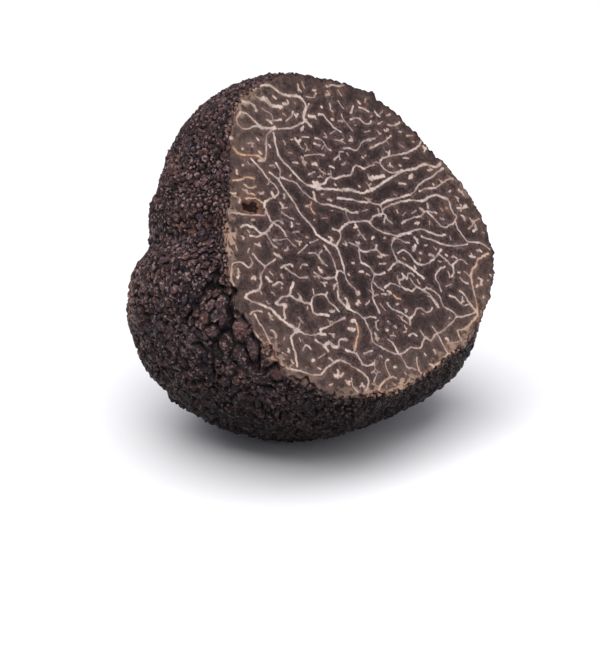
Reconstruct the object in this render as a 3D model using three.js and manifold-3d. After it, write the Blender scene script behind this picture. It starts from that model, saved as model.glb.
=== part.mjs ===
// A black truffle with a piece sliced off, lying on a small flat spot with the cut face turned up
// and to one side.  Millimetres, +Z up, +X to the right of the cut's own side, -Y towards it.
//
// The body is one lump: a ball about 64 mm across, swollen and dented by a few broad swellings,
// creased by two folds and covered with low many-sided warts.  One flat cut takes a cap off it.
import * as THREE from "three";
import { ConvexHull } from "three/addons/math/ConvexHull.js";
import { mergeVertices } from "three/addons/utils/BufferGeometryUtils.js";
import Module from "manifold-3d";

// ---------------------------------------------------------------- body
const BALL_RADIUS = 32;                              // the even ball under the swellings
const BALL_CENTRE = new THREE.Vector3(3.5, -3.5, 33.0);

// A direction is a turn about Z (0 is -Y, 90 is +X) and a rise above level, in degrees.
// Every swelling is a soft bump about its direction: spread in degrees, height in mm.
const SWELLINGS = [
  { name: "crown", turn: -119, rise: 53, spread: 24, height: 1.6 },
  { name: "flat flank", turn: -96, rise: 17, spread: 17, height: -3.4 },
  { name: "lower lobe", turn: -80, rise: -28, spread: 22, height: 2.7 },
  { name: "foot of the lobe", turn: -58, rise: -52, spread: 16, height: 0.9 },
  { name: "cheek behind the cut", turn: 110, rise: 4, spread: 17, height: 4.4 },
  { name: "hollow beside the cut", turn: -39, rise: 35, spread: 17, height: -4.2 },
  { name: "knob beside the cut", turn: -27, rise: 3, spread: 14, height: 1.4 },
  { name: "undercut", turn: 50, rise: -33, spread: 11, height: -4.4 },
  { name: "under jaw", turn: 90, rise: -28, spread: 17, height: 2.8 },
  { name: "dimple under the cut", turn: 50, rise: -66, spread: 10, height: -0.8 },
  { name: "seat", turn: -138, rise: -74, spread: 14, height: 2.4 },
  { name: "back lobe", turn: 150, rise: -25, spread: 20, height: 1.6 },
  { name: "back knob", turn: -150, rise: 5, spread: 16, height: 1.2 },
  { name: "back hollow", turn: 165, rise: 35, spread: 18, height: -1.8 },
];

// A fold is a furrow along a chain of directions (turn, rise): depth in mm, width in degrees.
const FOLDS = [
  { name: "waist", depth: 2.4, width: 7, path: [[-130, -8], [-91, 2], [-66, 14], [-45, 22], [-31, 11]] },
  { name: "back furrow", depth: 1.4, width: 8, path: [[-165, -30], [175, 0], [150, 22]] },
];

// ---------------------------------------------------------------- cut face
const CUT_TURN = 44.4;                               // which way the flat cut looks
const CUT_RISE = 31.8;
const CUT_DEPTH = 11.7;                              // ball centre to the cut
// Distance from the middle of the cut to its rim, every 18 degrees round, starting level to the right.
const RIM_RADII = [32.5, 29.4, 29.0, 29.6, 29.7, 30.3, 30.8, 28.8, 25.8, 26.2,
  28.8, 30.4, 30.4, 30.0, 28.2, 27.2, 27.4, 29.4, 31.7, 33.8];
const RIM_BLEND = 9;                                 // degrees over which the skin settles to the rim

// ---------------------------------------------------------------- warts
const WART_FINE = 1.55;                              // least distance between warts, upper skin
const WART_COARSE = 2.15;                            // the same, round the lower lobe
const WART_BLOCKY = 2.7;                             // the same, low beside the cut
const WART_CUT_AWAY = 9;                             // the same, on the cap that is sliced off
const WART_TRIES = 40000;
const WART_RISE = 0.24;                              // height of a wart as a share of its spacing
const WART_SINK = 0.2;                               // depth of its groove as a share of its spacing
const WART_LEAN = 0.2;                               // how far a tip strays from the middle
const REST_SMOOTH = 8;                               // no relief within this distance of the rest spot
const REST_ROUGH = 14;                               // full relief beyond this one
const SEED = 20417;

const CLEAR_OF_CUTS = 0.15;                          // no corner of a wart lies nearer to a cut than this
const CUT_BOX = 120;                                 // a box larger than the truffle, used for both cuts

// ---------------------------------------------------------------- helpers
function seededRandom(seed) {
  let state = seed;
  return () => {
    state = (state + 0x6d2b79f5) | 0;
    let mixed = Math.imul(state ^ (state >>> 15), 1 | state);
    mixed = (mixed + Math.imul(mixed ^ (mixed >>> 7), 61 | mixed)) ^ mixed;
    return ((mixed ^ (mixed >>> 14)) >>> 0) / 4294967296;
  };
}

function direction(turn, rise) {
  const around = THREE.MathUtils.degToRad(turn);
  const up = THREE.MathUtils.degToRad(rise);
  return new THREE.Vector3(
    Math.cos(up) * Math.sin(around),
    -Math.cos(up) * Math.cos(around),
    Math.sin(up),
  );
}

const CUT_NORMAL = direction(CUT_TURN, CUT_RISE);
const CUT_LEVEL = new THREE.Vector3(0, 0, 1).cross(CUT_NORMAL).normalize();
const CUT_UPHILL = CUT_NORMAL.clone().cross(CUT_LEVEL);

for (const swelling of SWELLINGS) {
  swelling.towards = direction(swelling.turn, swelling.rise);
  swelling.sharpness = 1 / THREE.MathUtils.degToRad(swelling.spread) ** 2;
}
for (const fold of FOLDS) {
  fold.points = fold.path.map(([turn, rise]) => direction(turn, rise));
  fold.reach = THREE.MathUtils.degToRad(fold.width);
}

function distanceToChain(towards, points) {
  const nearest = new THREE.Vector3();
  let least = Infinity;
  for (let i = 1; i < points.length; i += 1) {
    new THREE.Line3(points[i - 1], points[i]).closestPointToPoint(towards, true, nearest);
    least = Math.min(least, nearest.distanceTo(towards));
  }
  return least;
}

// Radius of the lump along a direction, before the rim is fitted.
function lumpRadius(towards) {
  let radius = BALL_RADIUS;
  for (const { towards: middle, sharpness, height } of SWELLINGS) {
    radius += height * Math.exp(sharpness * (towards.dot(middle) - 1));
  }
  for (const { points, reach, depth } of FOLDS) {
    radius -= depth * Math.exp(-((distanceToChain(towards, points) / reach) ** 2));
  }
  return radius;
}

// Rim radius round the cut: a smooth curve through RIM_RADII (Catmull-Rom, closed).
function rimRadius(around) {
  const count = RIM_RADII.length;
  const place = ((around / (2 * Math.PI)) * count + count) % count;
  const index = Math.floor(place);
  const t = place - index;
  const [before, here, next, after] = [-1, 0, 1, 2].map((k) => RIM_RADII[(index + k + count) % count]);
  const slope = next - before;
  const bend = 2 * before - 5 * here + 4 * next - after;
  const twist = 3 * here - before - 3 * next + after;
  return 0.5 * (2 * here + slope * t + bend * t * t + twist * t * t * t);
}

// Radius of the finished body: the lump, eased so that it meets the cut exactly at the rim.
function bodyRadius(towards) {
  const away = Math.acos(THREE.MathUtils.clamp(towards.dot(CUT_NORMAL), -1, 1));
  const around = Math.atan2(towards.dot(CUT_UPHILL), towards.dot(CUT_LEVEL));
  const rim = rimRadius(around);
  const rimAway = Math.atan2(rim, CUT_DEPTH);
  const rimTowards = CUT_NORMAL.clone().multiplyScalar(Math.cos(rimAway))
    .addScaledVector(CUT_LEVEL, Math.sin(rimAway) * Math.cos(around))
    .addScaledVector(CUT_UPHILL, Math.sin(rimAway) * Math.sin(around));
  const missing = Math.hypot(rim, CUT_DEPTH) - lumpRadius(rimTowards);
  const beyond = Math.max(away - rimAway, 0) / THREE.MathUtils.degToRad(RIM_BLEND);
  return lumpRadius(towards) + missing * Math.exp(-beyond * beyond);
}

function bodyPoint(towards, lift) {
  return BALL_CENTRE.clone().addScaledVector(towards, bodyRadius(towards) + lift);
}

// A wart corner that would lie almost in a cut is moved off it, so that no sliver is left behind.
function keepClear(point, middle, normal) {
  const height = point.clone().sub(middle).dot(normal);
  if (Math.abs(height) < CLEAR_OF_CUTS) {
    const side = height < 0 ? -1 : 1;
    point.addScaledVector(normal, side * CLEAR_OF_CUTS - height);
  }
  return point;
}

// ---------------------------------------------------------------- warts over the skin
const LOBE_SIDE = direction(-70, -40);
const BLOCKY_SIDE = direction(-8, -8);

// Least distance between neighbouring warts: fine above, coarser low down, blocky beside the cut.
function wartSpacing(towards) {
  if (towards.dot(CUT_NORMAL) * BALL_RADIUS > CUT_DEPTH + WART_COARSE) {
    return WART_CUT_AWAY;
  }
  const lobe = THREE.MathUtils.smoothstep(towards.dot(LOBE_SIDE), 0.35, 0.8);
  const blocky = THREE.MathUtils.smoothstep(towards.dot(BLOCKY_SIDE), 0.75, 0.95);
  const spacing = THREE.MathUtils.lerp(WART_FINE, WART_COARSE, lobe);
  return THREE.MathUtils.lerp(spacing, WART_BLOCKY, blocky);
}

// Wart middles: random directions, each kept when no kept one is nearer than the spacing there.
function scatterWarts(random) {
  const kept = [];
  for (let i = 0; i < WART_TRIES; i += 1) {
    const towards = new THREE.Vector3().setFromSphericalCoords(
      1, Math.acos(1 - 2 * random()), 2 * Math.PI * random());
    const spacing = wartSpacing(towards);
    const nearest = (spacing / BALL_RADIUS) ** 2;
    if (kept.every((other) => other.towards.distanceToSquared(towards) > nearest)) {
      kept.push({ towards, spacing });
    }
  }
  return kept;
}

// Relief fades out round the rest spot, so that the truffle stands on one small flat.
function reliefShare(towards) {
  const point = bodyPoint(towards, 0);
  return THREE.MathUtils.smoothstep(point.length(), REST_SMOOTH, REST_ROUGH);
}

// Every wart is a low pyramid: its tip stands over the middle, its foot follows the groove that it
// shares with its neighbours.  The groove corners lie where three neighbouring warts meet.
function wartySkin() {
  const random = seededRandom(SEED);
  const warts = scatterWarts(random);
  const hull = new ConvexHull().setFromPoints(warts.map((wart) => wart.towards));
  const wartOf = new Map(warts.map((wart, index) => [wart.towards, index]));
  const corners = [];

  for (const wart of warts) {
    const share = reliefShare(wart.towards);
    const stray = new THREE.Vector3(random() - 0.5, random() - 0.5, random() - 0.5)
      .multiplyScalar((share * WART_LEAN * wart.spacing) / BALL_RADIUS);
    const towards = wart.towards.clone().add(stray).normalize();
    const lift = share * WART_RISE * wart.spacing * (0.7 + 0.6 * random());
    corners.push(bodyPoint(towards, lift));
  }

  const grooveOf = new Map();
  for (const face of hull.faces) {
    const middle = new THREE.Vector3();
    let spacing = 0;
    for (const edge of [face.edge, face.edge.next, face.edge.prev]) {
      middle.add(edge.head().point);
      spacing += warts[wartOf.get(edge.head().point)].spacing / 3;
    }
    middle.normalize();
    grooveOf.set(face, corners.length);
    corners.push(bodyPoint(middle, -reliefShare(middle) * WART_SINK * spacing));
  }

  const triangles = [];
  for (const face of hull.faces) {
    for (const edge of [face.edge, face.edge.next, face.edge.prev]) {
      const tip = wartOf.get(edge.tail().point);
      triangles.push(tip, grooveOf.get(edge.twin.face), grooveOf.get(face));
    }
  }
  return { corners, triangles };
}

// ---------------------------------------------------------------- solids
const wasm = await Module();
wasm.setup();

function solidFrom(positions, indices) {
  return new wasm.Manifold(new wasm.Mesh({
    numProp: 3,
    vertProperties: Float32Array.from(positions),
    triVerts: Uint32Array.from(indices),
  }));
}

// A large box whose top face passes through a point and looks against the given way.
function cutterBeyond(point, outward) {
  const box = new THREE.BoxGeometry(CUT_BOX, CUT_BOX, CUT_BOX);
  box.deleteAttribute("normal");
  box.deleteAttribute("uv");
  const turnToOutward = new THREE.Quaternion().setFromUnitVectors(new THREE.Vector3(0, 0, 1), outward);
  box.translate(0, 0, CUT_BOX / 2);
  box.applyQuaternion(turnToOutward);
  box.translate(point.x, point.y, point.z);
  const welded = mergeVertices(box);
  return solidFrom(welded.attributes.position.array, welded.index.array);
}

function geometryFrom(solid) {
  const mesh = solid.getMesh();
  const geometry = new THREE.BufferGeometry();
  geometry.setAttribute("position", new THREE.BufferAttribute(mesh.vertProperties, 3));
  geometry.setIndex(new THREE.BufferAttribute(mesh.triVerts, 1));
  geometry.computeVertexNormals();
  return geometry;
}

const skin = wartySkin();
const cuts = [
  { middle: BALL_CENTRE.clone().addScaledVector(CUT_NORMAL, CUT_DEPTH), normal: CUT_NORMAL },
  { middle: new THREE.Vector3(0, 0, 0), normal: new THREE.Vector3(0, 0, -1) },
];
for (const { middle, normal } of cuts) {
  skin.corners.forEach((corner) => keepClear(corner, middle, normal));
}
const wartyBall = solidFrom(skin.corners.flatMap((corner) => corner.toArray()), skin.triangles);
const truffleSolid = cuts.reduce(
  (solid, { middle, normal }) => solid.subtract(cutterBeyond(middle, normal)), wartyBall);

// ---------------------------------------------------------------- part
const blackSkin = new THREE.MeshStandardMaterial({ color: 0x2b2324, roughness: 0.85, flatShading: true });

const truffle = new THREE.Mesh(geometryFrom(truffleSolid), blackSkin);
truffle.name = "truffle";

const group = new THREE.Group();
group.name = "black_truffle";
group.add(truffle);

export default group;
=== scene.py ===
# %% [markdown]
# # A cut black truffle
#
# A black truffle is a lump of fungus that grows underground. Its skin is near black and covered
# with low many-sided warts. A cap has been sliced off this one, so that one big flat face shows the
# flesh: dark, purplish brown, and marbled with a net of thin cream veins.
#
# The lesson builds it as one closed mesh in four steps: the form of the lump, the warts over it, the
# flat cut with its veins, and then the colours. Lengths are in millimetres until a mesh is made.

import bmesh
import bpy
import numpy as np
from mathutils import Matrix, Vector
from mathutils.geometry import delaunay_2d_cdt


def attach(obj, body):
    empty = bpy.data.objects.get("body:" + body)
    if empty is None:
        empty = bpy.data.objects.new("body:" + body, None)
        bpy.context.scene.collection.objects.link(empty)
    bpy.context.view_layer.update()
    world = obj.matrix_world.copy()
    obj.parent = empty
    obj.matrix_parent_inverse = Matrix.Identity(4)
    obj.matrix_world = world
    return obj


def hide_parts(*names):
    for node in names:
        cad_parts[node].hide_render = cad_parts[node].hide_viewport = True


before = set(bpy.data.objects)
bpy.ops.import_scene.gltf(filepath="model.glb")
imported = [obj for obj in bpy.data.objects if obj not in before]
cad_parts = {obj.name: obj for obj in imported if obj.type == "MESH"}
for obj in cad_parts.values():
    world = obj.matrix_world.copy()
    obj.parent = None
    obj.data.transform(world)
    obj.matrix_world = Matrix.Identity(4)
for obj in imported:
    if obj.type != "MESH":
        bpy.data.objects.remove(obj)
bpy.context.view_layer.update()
METRES = 0.001

# %% [markdown]
# ## Directions
#
# Everything on a lump is easiest to place by the direction in which it lies from the middle: a turn
# about the upright axis and a rise above level. The first two helpers turn such pairs into unit
# vectors, and bring vectors back to unit length after they have been mixed. The third makes every
# soft change from one value to another.

# %% Helpers for directions
def direction(turn, rise):
    """Unit vectors from a turn about Z (0 is -Y, 90 is +X) and a rise above level, in degrees."""
    around, up = np.radians(turn), np.radians(rise)
    flat = np.cos(up)
    return np.stack([flat * np.sin(around), -flat * np.cos(around), np.sin(up) + 0 * around], -1)


def unit(vectors):
    """Each vector divided by its own length."""
    return vectors / np.linalg.norm(vectors, axis=-1, keepdims=True)


def smoothstep(value, low, high):
    """0 below low, 1 above high, and 3t^2 - 2t^3 between them."""
    t = np.clip((value - low) / (high - low), 0, 1)
    return t * t * (3 - 2 * t)


print("straight ahead is", direction(0, 0), "and to the right is", direction(90, 0).round(3))

# %% [markdown]
# ## The lump
#
# A truffle swells wherever the soil and stones leave it room, so it is a ball with a few broad
# swellings and hollows. Sculpting by hand would do, but a sum of soft bumps is easier to repeat: one
# bump for each swelling, given by its direction, its spread and its height. Two furrows, where
# lobes meet, are subtracted along chains of directions.

# %% Swellings and folds
BALL_RADIUS = 32.0
BALL_CENTRE = np.array([3.5, -3.5, 33.0])

SWELLINGS = {  # turn, rise, spread in degrees, height in mm
    "crown": (-119, 53, 24, 1.6),
    "flat flank": (-96, 17, 17, -3.4),
    "lower lobe": (-80, -28, 22, 2.7),
    "foot of the lobe": (-58, -52, 16, 0.9),
    "cheek behind the cut": (110, 4, 17, 4.4),
    "hollow beside the cut": (-39, 35, 17, -4.2),
    "knob beside the cut": (-27, 3, 14, 1.4),
    "undercut": (50, -33, 11, -4.4),
    "under jaw": (90, -28, 17, 2.8),
    "dimple under the cut": (50, -66, 10, -0.8),
    "seat": (-138, -74, 14, 2.4),
    "back lobe": (150, -25, 20, 1.6),
    "back knob": (-150, 5, 16, 1.2),
    "back hollow": (165, 35, 18, -1.8),
}
FOLDS = {  # depth in mm, width in degrees, and the chain of (turn, rise) that it follows
    "waist": (2.4, 7, [(-130, -8), (-91, 2), (-66, 14), (-45, 22), (-31, 11)]),
    "back furrow": (1.4, 8, [(-165, -30), (175, 0), (150, 22)]),
}


def distance_to_chain(points, chain):
    """Least distance from each point to the straight pieces between the chain's points."""
    starts, ends = chain[:-1], chain[1:]
    along = ends - starts
    offset = points[:, None] - starts
    share = np.clip((offset * along).sum(-1) / (along * along).sum(-1), 0, 1)
    return np.linalg.norm(offset - share[..., None] * along, axis=-1).min(1)


def lump_radius(dirs):
    """The ball's radius, plus height * exp((cos(angle) - 1) / spread^2) for every swelling, minus
    depth * exp(-(distance / width)^2) for every fold."""
    radius = np.full(len(dirs), BALL_RADIUS)
    for turn, rise, spread, height in SWELLINGS.values():
        radius += height * np.exp((dirs @ direction(turn, rise) - 1) / np.radians(spread) ** 2)
    for depth, width, path in FOLDS.values():
        chain = direction(*np.array(path, float).T)
        radius -= depth * np.exp(-((distance_to_chain(dirs, chain) / np.radians(width)) ** 2))
    return radius


print("lump radius ahead, mm:", lump_radius(direction(0, 0)[None]).round(2))

# %% [markdown]
# ## The cut and its rim
#
# The slice came off along one plane. What a viewer reads first is the outline of that cut, so the rim
# is given its own radii, every 18 degrees round the middle of the cut, joined by a smooth curve.
# The skin beside the rim is then eased over a few degrees to meet that curve.

# %% The cut plane, and the lump eased to meet its rim
CUT_TURN, CUT_RISE, CUT_DEPTH = 44.4, 31.8, 11.7  # degrees, degrees, and mm from the ball's middle
CUT_NORMAL = direction(CUT_TURN, CUT_RISE)
CUT_LEVEL = unit(np.cross([0, 0, 1], CUT_NORMAL))
CUT_UPHILL = np.cross(CUT_NORMAL, CUT_LEVEL)
CUT_MIDDLE = BALL_CENTRE + CUT_DEPTH * CUT_NORMAL
RIM_RADII = np.array([32.5, 29.4, 29.0, 29.6, 29.7, 30.3, 30.8, 28.8, 25.8, 26.2,
                      28.8, 30.4, 30.4, 30.0, 28.2, 27.2, 27.4, 29.4, 31.7, 33.8])
RIM_BLEND = 9.0  # degrees


def rim_radius(around):
    """Closed Catmull-Rom curve through RIM_RADII; around is in radians."""
    count = len(RIM_RADII)
    place = (around / (2 * np.pi) * count) % count
    index = np.floor(place).astype(int)
    t = place - index
    before, here, after, beyond = (RIM_RADII[(index + k) % count] for k in (-1, 0, 1, 2))
    bend = 2 * before - 5 * here + 4 * after - beyond
    twist = 3 * here - before - 3 * after + beyond
    return 0.5 * (2 * here + (after - before) * t + bend * t**2 + twist * t**3)


def cut_angles(dirs):
    """Angle of each direction from the cut's normal, and its angle round that normal."""
    away = np.arccos(np.clip(dirs @ CUT_NORMAL, -1, 1))
    return away, np.arctan2(dirs @ CUT_UPHILL, dirs @ CUT_LEVEL)


def direction_from_cut(away, around):
    """The direction at an angle away from the cut's normal, in the given heading round it."""
    sideways = np.cos(around)[..., None] * CUT_LEVEL + np.sin(around)[..., None] * CUT_UPHILL
    return np.cos(away)[..., None] * CUT_NORMAL + np.sin(away)[..., None] * sideways


def body_radius(dirs):
    """Lump radius, plus what is missing at the rim, fading as exp(-(angle beyond rim / blend)^2)."""
    away, around = cut_angles(dirs)
    rim = rim_radius(around)
    rim_away = np.arctan2(rim, CUT_DEPTH)
    missing = np.hypot(rim, CUT_DEPTH) - lump_radius(direction_from_cut(rim_away, around))
    beyond = np.maximum(away - rim_away, 0) / np.radians(RIM_BLEND)
    return lump_radius(dirs) + missing * np.exp(-(beyond**2))


def angle_beyond_rim(dirs):
    """Degrees from the rim, positive on the skin and negative over the cut."""
    away, around = cut_angles(dirs)
    return np.degrees(away - np.arctan2(rim_radius(around), CUT_DEPTH))


print("the cut is about", round(2 * RIM_RADII.mean(), 1), "mm across")

# %% [markdown]
# ## Where the warts stand
#
# Warts crowd evenly without lining up, so their middles are scattered at random and thinned until no
# two are nearer than the spacing there. They stand closest on the upper skin and across the lower
# lobe, wider apart over the back, and widest in a blocky patch low beside the cut. Chance makes
# each wart claim more or less room than that. Round the lobe they are more than twice as tall as
# wide, so distances count for less in the upright direction.

# %% Spacing of the warts
SEED = 71
CANDIDATES = 26000
BATCH = 2000  # candidates compared with all others at one time, to spare memory
UPPER, BACK, LOBE, BLOCKY = 0.86, 1.2, 0.88, 2.4  # spacing of each kind of skin, mm
UNEVEN = (0.6, 1.5)  # least and greatest share of the spacing that one wart claims
STRETCH = 2.6  # how much longer than wide the room of a wart is on the lobe
LOBE_SIDE = direction(-70, -40)
ALONG_LOBE = direction(20, 0)
BACK_SIDE = direction(160, -10)
BLOCKY_SIDE = direction(-20, -9)
LOBE_EDGE, BACK_EDGE, BLOCKY_EDGE = (0.3, 0.8), (-0.1, 0.6), (0.955, 0.98)  # cosines, outer and inner
BLOCKY_BAND = (-12, -9)  # degrees below the rim where the blocky patch starts and is full
RIM_MARGIN = 8.0  # degrees of skin kept beyond the rim, until the cut takes it off


def lobe_share(dirs, outer=LOBE_EDGE[0]):
    """0 far from the lower lobe and 1 on it, by a smooth step of the cosine to its middle."""
    return smoothstep(dirs @ LOBE_SIDE, outer, LOBE_EDGE[1])


def wart_spacing(dirs):
    """Least distance between warts, mixed between four values by smooth steps of direction."""
    back = smoothstep(dirs @ BACK_SIDE, *BACK_EDGE)
    blocky = smoothstep(dirs @ BLOCKY_SIDE, *BLOCKY_EDGE)
    blocky = blocky * smoothstep(-angle_beyond_rim(dirs), *BLOCKY_BAND)
    spacing = UPPER + (BACK - UPPER) * back
    spacing = spacing + (LOBE - spacing) * lobe_share(dirs)
    return spacing + (BLOCKY - spacing) * blocky


def thin_out(dirs, rng):
    """Keeps a direction when none of lower rank is kept within its spacing. All ranks are settled
    together: each round keeps those that outrank every rival and drops the rivals of those."""
    claim = rng.uniform(*UNEVEN, len(dirs))
    spacing = (wart_spacing(dirs) * claim / BALL_RADIUS).astype(np.float32)
    stretch = 1 + (STRETCH - 1) * lobe_share(dirs)
    points = dirs.astype(np.float32)
    lengthwise = unit(np.array([0, 0, 1]) - dirs[:, 2:] * dirs) * np.sqrt(1 - 1 / stretch**2)[:, None]
    lengthwise = lengthwise.astype(np.float32)
    first, second = [], []
    for start in range(0, len(dirs), BATCH):
        rows = slice(start, start + BATCH)
        apart = 2 - 2 * points[rows] @ points.T - (lengthwise[rows] @ points.T) ** 2
        a, b = np.nonzero(apart < spacing[rows, None] ** 2)
        later = b > a + start
        first.append(a[later] + start)
        second.append(b[later])
    first, second = np.concatenate(first), np.concatenate(second)
    rank = rng.permutation(len(dirs))
    undecided = np.ones(len(dirs), bool)
    kept = np.zeros(len(dirs), bool)
    while undecided.any():
        live = undecided[first] & undecided[second]
        best = np.full(len(dirs), len(dirs))
        np.minimum.at(best, first[live], rank[second[live]])
        np.minimum.at(best, second[live], rank[first[live]])
        winners = undecided & (rank < best)
        kept |= winners
        undecided &= ~winners
        undecided[second[winners[first]]] = False
        undecided[first[winners[second]]] = False
        first, second = first[live], second[live]
    return dirs[kept]


rng = np.random.default_rng(SEED)
scattered = unit(rng.normal(size=(CANDIDATES * 2, 3)))
scattered = scattered[angle_beyond_rim(scattered) > -RIM_MARGIN][:CANDIDATES]
wart_dirs = thin_out(scattered, rng)
print(len(wart_dirs), "warts")

# %% [markdown]
# ## From middles to warts
#
# The ground that belongs to each wart is what lies nearer to its middle than to any other. Joining
# neighbouring middles into triangles gives that for nothing: every triangle's centre is a corner
# where three warts meet, and every shared side is a groove between two. The triangles come from
# Blender's flat Delaunay routine after the ball is unrolled from a point inside the cut, which keeps
# circles round and so gives the same triangles as on the ball itself.

# %% Neighbours of the warts
def neighbour_triangles(dirs):
    """Unrolls the directions onto a plane, each at tan(half its angle from the far pole), joins them
    into Delaunay triangles and turns every triangle to face outwards."""
    away, around = cut_angles(dirs)
    reach = np.tan((np.pi - away) / 2)
    flat = np.stack([reach * np.cos(around), reach * np.sin(around)], -1)
    faces = delaunay_2d_cdt([Vector(p) for p in flat.tolist()], [], [], 0, 1e-9)[2]
    faces = np.array(faces)
    corners = dirs[faces]
    outward = np.cross(corners[:, 1] - corners[:, 0], corners[:, 2] - corners[:, 0])
    inside_out = (outward * corners[:, 0]).sum(-1) < 0
    faces[inside_out] = faces[inside_out][:, ::-1]
    return faces


def shared_sides(faces):
    """For every side shared by two triangles: its two warts and the sides' places in faces. The
    side runs from tail to head in the left triangle, and back again in the right one."""
    tail, head = faces.ravel(), np.roll(faces, -1, axis=1).ravel()
    order = np.lexsort((tail > head, np.maximum(tail, head), np.minimum(tail, head)))
    one, two = order[:-1], order[1:]
    paired = (tail[one] == head[two]) & (head[one] == tail[two])
    return one[paired], two[paired]


wart_faces = neighbour_triangles(wart_dirs)
left_side, right_side = shared_sides(wart_faces)
print(len(wart_faces), "groove corners and", len(left_side), "grooves")

# %% [markdown]
# ## Grooves, shoulders and crowns
#
# A wart is a low pyramid with a worn top: from the groove it rises steeply to a shoulder and then
# gently to its crown. Each one gets a ring of groove points, which it shares with its neighbours, a
# ring of shoulder points and one crown point, all pushed in or out along their directions. Every
# height is a share of the wart's own width, with some chance in it, so no two are alike. Half of
# the grooves have grown shut, which joins their warts into crooked clusters.
#
# Four kinds of change are then laid over the warts: broad and small swells, upright ridges on the
# lower lobe, a little less relief where the knife pressed beside the rim, and a few single marks.
# Those are notches and a crumb at the rim, and cracks in the skin below it.

# %% Heights over the skin
GROOVE_DEPTH, SHOULDER_HEIGHT, CROWN_HEIGHT = 0.2, 0.08, 0.12
CORNER_DEPTHS, MIDDLE_DEPTHS = (0.3, 1.6), (0.1, 1.2)  # least and greatest share of the groove's depth
GROWN_SHUT, SHUT_LIFT = 0.5, 0.06  # share of grooves grown shut, and their height for the width
HALF_SHUT = 0.1  # of all grooves, on both sides of that share, are shut only in part
GROOVE_SHIFT, CROWN_SHIFT = 0.07, 0.1  # how far chance moves them, in distances between warts
CORNER_SHOULDER, SIDE_SHOULDER = (0.5, 0.7), (0.5, 0.72)  # place between a wart's middle and groove
VIGOUR = (0.3, 2.0)  # least and greatest share of the crown's height
LEAN = 0.16  # usual slope of a wart's shoulders to one side
ROUGH = (-0.6, 2.2)  # least and greatest share of the shoulder's height
WIDEST = 1.6  # most that a wart's width counts for, in distances to the nearest wart
CROWN_RISE, CORNER_RISE, MIDDLE_RISE, SHOULDER_RISE = 1.0, 0.3, 0.55, 0.75  # 0 groove, 1 crown
GROOVE_TINT = 0.5  # tint of a groove point, which belongs to no one wart
RIM_RELIEF = 0.9  # share of the relief left at the rim
RIM_PRESSED = (-4.0, -1.5)  # degrees from the rim where the relief starts to fade and is least
WAVES, WAVE_PACES = 60, (0.6, 1.5)  # number of plane waves, and how their paces vary
SWELLS = [(9.0, 0.16), (4.0, 0.08)]  # length and height of the uneven ground's waves, mm
RIDGES, RIDGE_PULL = (2.6, 0.09), 4.0  # the lobe's waves, and how strongly they keep one heading
RIDGE_EDGE = 0.2  # cosine to the lobe's middle where they start
NICKS = {  # level and uphill mm on the cut, height and spread in mm
    "crumb left by the knife": (18.2, 24.1, 1.0, 0.7),
    "notch on the left": (-28.3, -3.2, -1.3, 0.8),
    "notch low on the left": (-27.0, -14.1, -1.4, 0.8),
    "notch at the foot": (-22.1, -20.9, -1.3, 0.8),
}
CRACK_DEPTH, CRACK_WIDTH, CRACK_SHADE = 0.55, 0.5, 0.9  # mm, mm, and share of the rise taken away
CRACKS = [  # chains of turn and rise in degrees
    [(-31.3, 12.9), (-33.4, 6.5), (-35.8, 0.5), (-39.5, -4.6)],
    [(-34, 6.4), (-28.3, 6.8), (-24.1, 7.1)],
    [(-23.4, 3.5), (-24.9, -2.5), (-27.5, -7.1), (-29.5, -8.1), (-31.7, -16.1), (-34.1, -28.6)],
]


def rumple(dirs, rng, length, height, across=(0, 0, 0)):
    """Broad unevenness: a sum of plane waves of random heading and phase, about one length long.
    With an across direction the waves keep near that heading, so their ridges run the other way."""
    heading = unit(rng.normal(size=(WAVES, 3)) + across) * (2 * np.pi * BALL_RADIUS / length)
    heading *= rng.uniform(*WAVE_PACES, (WAVES, 1))
    phase = rng.uniform(0, 2 * np.pi, WAVES)
    return height * np.sin(dirs @ heading.T + phase).sum(-1) / np.sqrt(WAVES / 2)


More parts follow.
